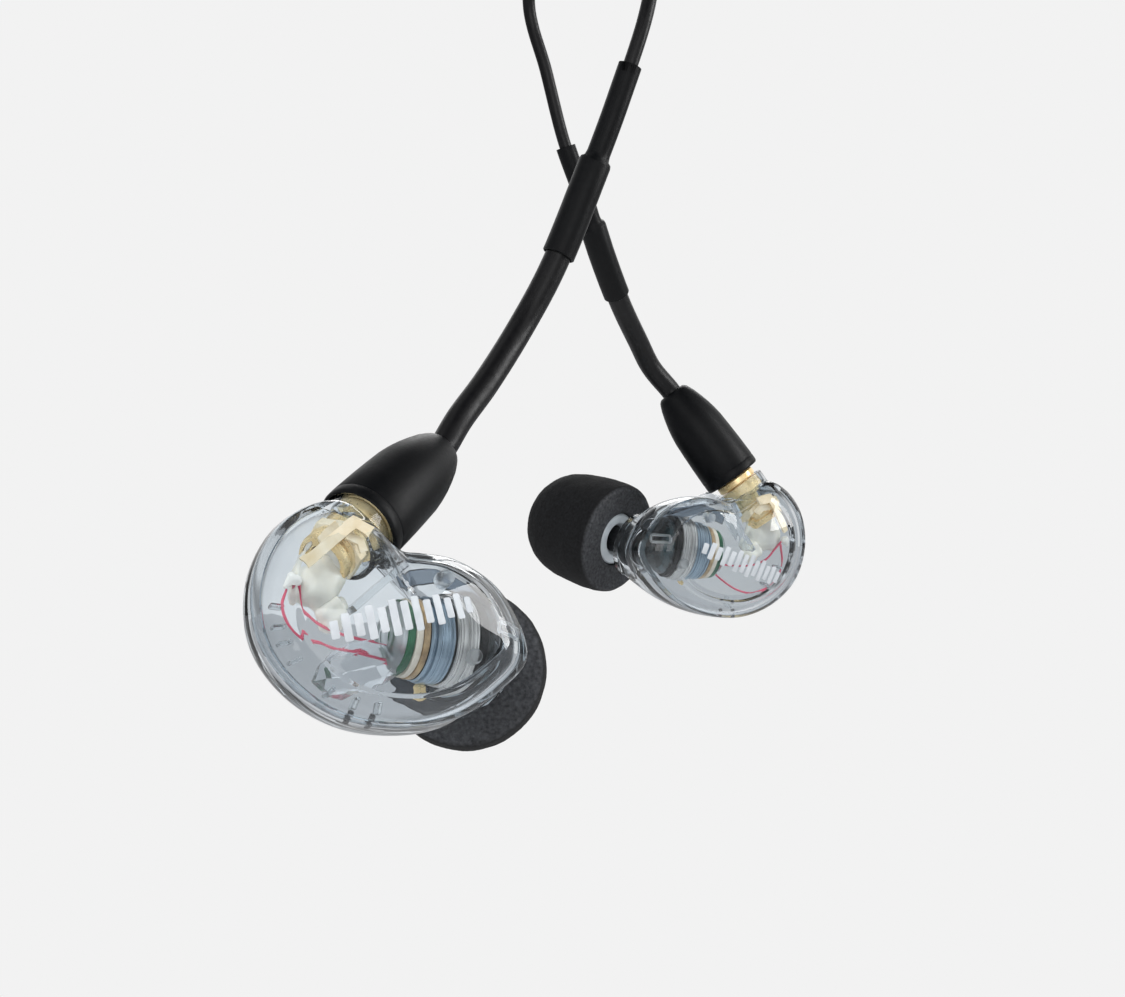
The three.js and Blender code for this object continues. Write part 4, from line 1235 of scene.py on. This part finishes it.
def bored(name, block, holes, body, look, node):
    """A block with round holes through it, given as (lane, radius, bottom, top)."""
    steps = []
    for lane, radius, bottom, top in holes:
        points, faces = rod(radius, bottom, top, 40, 0)
        moved = [p + Vector((TWIN_AT[0] + lane, TWIN_AT[1], 0)) for p in points]
        steps.append(("DIFFERENCE", (moved, faces)))
    built(name, block, steps, HANG, body, look, node, 35)


def slider_and_splitter():
    lanes = (-TWIN_SPACING / 2, TWIN_SPACING / 2)
    top = SLIDER_BOTTOM + SLIDER_HEIGHT
    grooves = [SLIDER_BOTTOM + 1.6 + 0.95 * k for k in range(5)]
    bored("slider_moulding", oval_block(2.4, 1.5, SLIDER_BOTTOM, SLIDER_HEIGHT, 0.4, grooves=grooves),
          [(lane, THIN_RADIUS + 0.15, SLIDER_BOTTOM - 1, top + 1) for lane in lanes],
          "slider", "black_rubber", "cable_slider")
    top = SPLITTER_BOTTOM + SPLITTER_HEIGHT
    holes = [(lane, THIN_RADIUS + 0.08, SPLITTER_BOTTOM - 1, SPLITTER_BOTTOM + 1.6) for lane in lanes]
    holes.append((0, MAIN_RADIUS + 0.1, top - 2, top + 1))
    bored("splitter_moulding", oval_block(2.7, 2.0, SPLITTER_BOTTOM, SPLITTER_HEIGHT, 0.5, 0.8),
          holes, "cable", "black_plastic", "splitter")


def main_cable():
    points = [Vector((TWIN_AT[0], TWIN_AT[1], ARCH_BOTTOM - 2.8))]
    for step in range(7):
        turn = math.pi * step / 6
        points.append(Vector((TWIN_AT[0], TWIN_AT[1] + ARCH_RADIUS * (1 - math.cos(turn)),
                              ARCH_BOTTOM + ARCH_RADIUS * math.sin(turn))))
    points.append(Vector((PLUG_AT[0], PLUG_AT[1], ARCH_BOTTOM - 3)))
    course = Path(centripetal(points, False))
    add = adder("", HANG, "cable")
    arch = course.cord(0, course.length, MAIN_RADIUS)
    add("arched_cable", arch, "cable_black", node="main_cable")


def stereo_plug():
    """The plug points down; heights run from its shoulder, upward positive."""
    at = Vector((PLUG_AT[0], PLUG_AT[1], SHOULDER))
    top = HANDLE_LENGTH + RELIEF_LENGTH
    grip = [(HANDLE_RADIUS, 0.5)]
    for k in range(6):
        z = 2.6 + 1.3 * k
        grip += [(HANDLE_RADIUS, z), (HANDLE_RADIUS - 0.16, z + 0.15), (HANDLE_RADIUS - 0.16, z + 0.5),
                 (HANDLE_RADIUS, z + 0.65)]
    relief = []
    for k in range(4):
        z = HANDLE_LENGTH + 1.0 + 1.1 * k
        relief += [(2.15 - 0.07 * k, z), (1.85 - 0.05 * k, z + 0.1), (1.85 - 0.05 * k, z + 0.45),
                   (2.12 - 0.07 * k, z + 0.55)]
    handle = [
        (PIN_RADIUS + 0.05, 0), (HANDLE_RADIUS - 0.4, 0), *grip, (HANDLE_RADIUS, HANDLE_LENGTH - 2),
        (HANDLE_RADIUS - 0.7, HANDLE_LENGTH), (2.2, HANDLE_LENGTH + 0.4), *relief, (1.85, top - 0.2),
        (1.75, top), (MAIN_RADIUS + 0.1, top), (MAIN_RADIUS + 0.1, top - 4), (0.5, top - 4.2), (0.5, 6.0),
        (PIN_RADIUS + 0.05, 6.0),
    ]
    plug = {
        "handle": (handle, "black_plastic", "plug_handle"),
        "sleeve": ([(1.25, -7.0), (1.7, -7.0), (PIN_RADIUS, -6.92), (PIN_RADIUS, 5.5), (1.25, 5.5)],
                   "gold", "plug_sleeve_contact"),
        "rings": ([(0.6, -10.75), (1.72, -10.75), (1.72, -10.05), (1.15, -10.05), (1.15, -7.75),
                   (1.72, -7.75), (1.72, -7.05), (1.15, -7.05), (1.15, -3.0), (0.6, -3.0)],
                  "black_plastic", "plug_insulator"),
        "ring": ([(1.2, -10.0), (PIN_RADIUS, -10.0), (PIN_RADIUS, -7.8), (1.2, -7.8)],
                 "gold", "plug_ring_contact"),
        "tip": ([(0, -PIN_LENGTH), (0.45, -13.95), (1.0, -13.55), (1.5, -12.95), (1.58, -12.6),
                 (1.2, -11.8), (1.15, -11.5), (1.6, -11.05), (PIN_RADIUS, -10.9), (PIN_RADIUS, -10.8),
                 (0.54, -10.8), (0.54, -3.5), (0, -3.5)], "gold", "plug_tip_contact"),
    }
    add = adder("", HANG, "cable")
    upward = Vector((0, 0, 1))
    for name, (profile, look, node) in plug.items():
        shape = on_axis(turned(profile, 80, 0.05), at, upward)
        add("stereo_plug_" + name, shape, look, node=node, along=(at, upward))


for monitor_side in SIDES:
    housing_shells(monitor_side)
    jack(monitor_side)
    adhesive(monitor_side)
    wires(monitor_side)
    driver(monitor_side)
    front_chamber(monitor_side)
    nozzle(monitor_side)
    inner_details(monitor_side)
    sound_bars(monitor_side)
    ear_tip(monitor_side)
    cable_plug(monitor_side)
    boot(monitor_side)
    branch(monitor_side)
slider_and_splitter()
main_cable()
stereo_plug()


# ---- Floor, light and camera ----

BACKDROP = lit(242, 242, 242)


def floor():
    """A plain pale floor far below; the camera sees it in the backdrop's own shade."""
    work = bmesh.new()
    bmesh.ops.create_circle(work, cap_ends=True, radius=4.0, segments=64)
    mesh = bpy.data.meshes.new("floor")
    work.to_mesh(mesh)
    work.free()
    obj = bpy.data.objects.new("floor", mesh)
    obj.location = (0, 0, CAD_BOX[0][2] - 0.35)
    bpy.context.scene.collection.objects.link(obj)
    look = Look("floor", lit(238, 238, 238), 0.9)
    seen = look.add("ShaderNodeLightPath")
    glow = look.add("ShaderNodeEmission", Color=BACKDROP, Strength=1.0)
    look.show(look.chosen(seen.outputs["Is Camera Ray"], look.shader.outputs[0], glow.outputs[0]))
    mesh.materials.append(look.material)


def surroundings():
    """The camera sees an even backdrop. Bent rays see it with dark cards, reflections a dim studio."""
    world = bpy.data.worlds.new("studio")
    bpy.context.scene.world = world
    tree = Tree(world)
    where = tree.add("ShaderNodeTexCoord")
    split = tree.add("ShaderNodeSeparateXYZ")
    tree.link(where.outputs["Generated"], split.inputs[0])
    lift, aside = (tree.mapped(split.outputs[axis], -1, 1, 0, 1) for axis in "ZX")

    def shaded(source, stops):
        """A grey read off a list of (place, brightness) stops."""
        return tree.ramp(source, [(place, (grey, grey, grey, 1)) for place, grey in stops], "EASE")

    def lit_by(strength, colour=None, source=None):
        made = tree.add("ShaderNodeBackground", Strength=strength)
        if colour:
            made.inputs["Color"].default_value = colour
        if source:
            tree.link(source, made.inputs["Color"])
        return made.outputs[0]

    bent = tree.blended("MULTIPLY", shaded(lift, [
        (0.0, 0.5), (0.14, 0.9), (0.24, 0.2), (0.32, 0.75), (0.42, 0.88), (0.58, 0.9), (0.67, 0.6),
        (0.74, 0.06), (0.84, 0.95), (1.0, 1.0),
    ]), shaded(aside, [
        (0.0, 1.0), (0.1, 0.95), (0.17, 0.4), (0.26, 0.95), (0.48, 1.0), (0.52, 0.66), (0.64, 0.6),
        (0.72, 0.95), (0.83, 0.16), (0.9, 0.9), (1.0, 1.0),
    ]))
    cards = tree.blended("MULTIPLY", shaded(lift, [
        (0.0, 0.2), (0.4, 0.1), (0.54, 0.2), (0.62, 1.0), (0.76, 1.0), (0.84, 0.1), (0.92, 0.4),
        (1.0, 0.8),
    ]), shaded(aside, [
        (0.0, 0.3), (0.12, 0.6), (0.24, 1.0), (0.36, 1.0), (0.44, 0.1), (0.66, 0.1), (0.74, 1.0),
        (0.84, 1.0), (0.92, 0.2), (1.0, 0.3),
    ]))
    behind = shaded(split.outputs["Y"], [(0.0, 0.06), (0.72, 0.1), (0.95, 0.8), (1.0, 0.85)])
    mirrored = tree.blended("LIGHTEN", cards, behind)
    seen = tree.add("ShaderNodeLightPath")
    surface = lit_by(0.7, colour=(0.8, 0.81, 0.83, 1))
    surface = tree.chosen(seen.outputs["Is Glossy Ray"], surface, lit_by(1.25, source=mirrored))
    surface = tree.chosen(seen.outputs["Is Transmission Ray"], surface, lit_by(1.02, source=bent))
    surface = tree.chosen(seen.outputs["Is Camera Ray"], surface, lit_by(1.0, colour=BACKDROP))
    output = tree.add("ShaderNodeOutputWorld")
    tree.link(surface, output.inputs["Surface"])


def softbox(name, place, size, power, target, mirrored=True):
    data = bpy.data.lights.new(name, "AREA")
    data.shape = "RECTANGLE"
    data.size, data.size_y = size
    data.energy = power
    obj = bpy.data.objects.new(name, data)
    obj.location = place
    obj.rotation_euler = (target - Vector(place)).to_track_quat("-Z", "Y").to_euler()
    obj.visible_camera = False
    obj.visible_transmission = False
    obj.visible_glossy = mirrored
    bpy.context.scene.collection.objects.link(obj)


def studio():
    centre = HANG @ Vector((0, 25, 5))
    softbox("key", centre + Vector((-0.22, -0.25, 0.3)), (0.22, 0.22), 1.5, centre, mirrored=False)
    softbox("side", centre + Vector((0.38, 0.0, 0.14)), (0.12, 0.3), 1.0, centre)
    softbox("front", centre + Vector((0.05, -0.5, 0.05)), (0.3, 0.3), 0.7, centre)
    softbox("back", centre + Vector((0.05, 0.45, 0.3)), (0.3, 0.2), 0.8, centre)


def camera():
    """Level, square on to the left monitor's plane, with the photograph's field of view."""
    data = bpy.data.cameras.new("camera")
    data.sensor_fit = "HORIZONTAL"
    data.sensor_width = 36
    data.lens = 51.46
    data.clip_start = 0.005
    obj = bpy.data.objects.new("camera", data)
    obj.location = HANG @ Vector((0, -CAMERA_DISTANCE, 0))
    obj.rotation_euler = (math.radians(90), 0, 0)
    bpy.context.scene.collection.objects.link(obj)
    bpy.context.scene.camera = obj


floor()
surroundings()
studio()
camera()
scene = bpy.context.scene
scene.view_settings.view_transform = "Standard"
scene.cycles.max_bounces = 24
scene.cycles.transmission_bounces = 20
scene.cycles.transparent_max_bounces = 32
scene.cycles.glossy_bounces = 6
scene.cycles.caustics_refractive = True
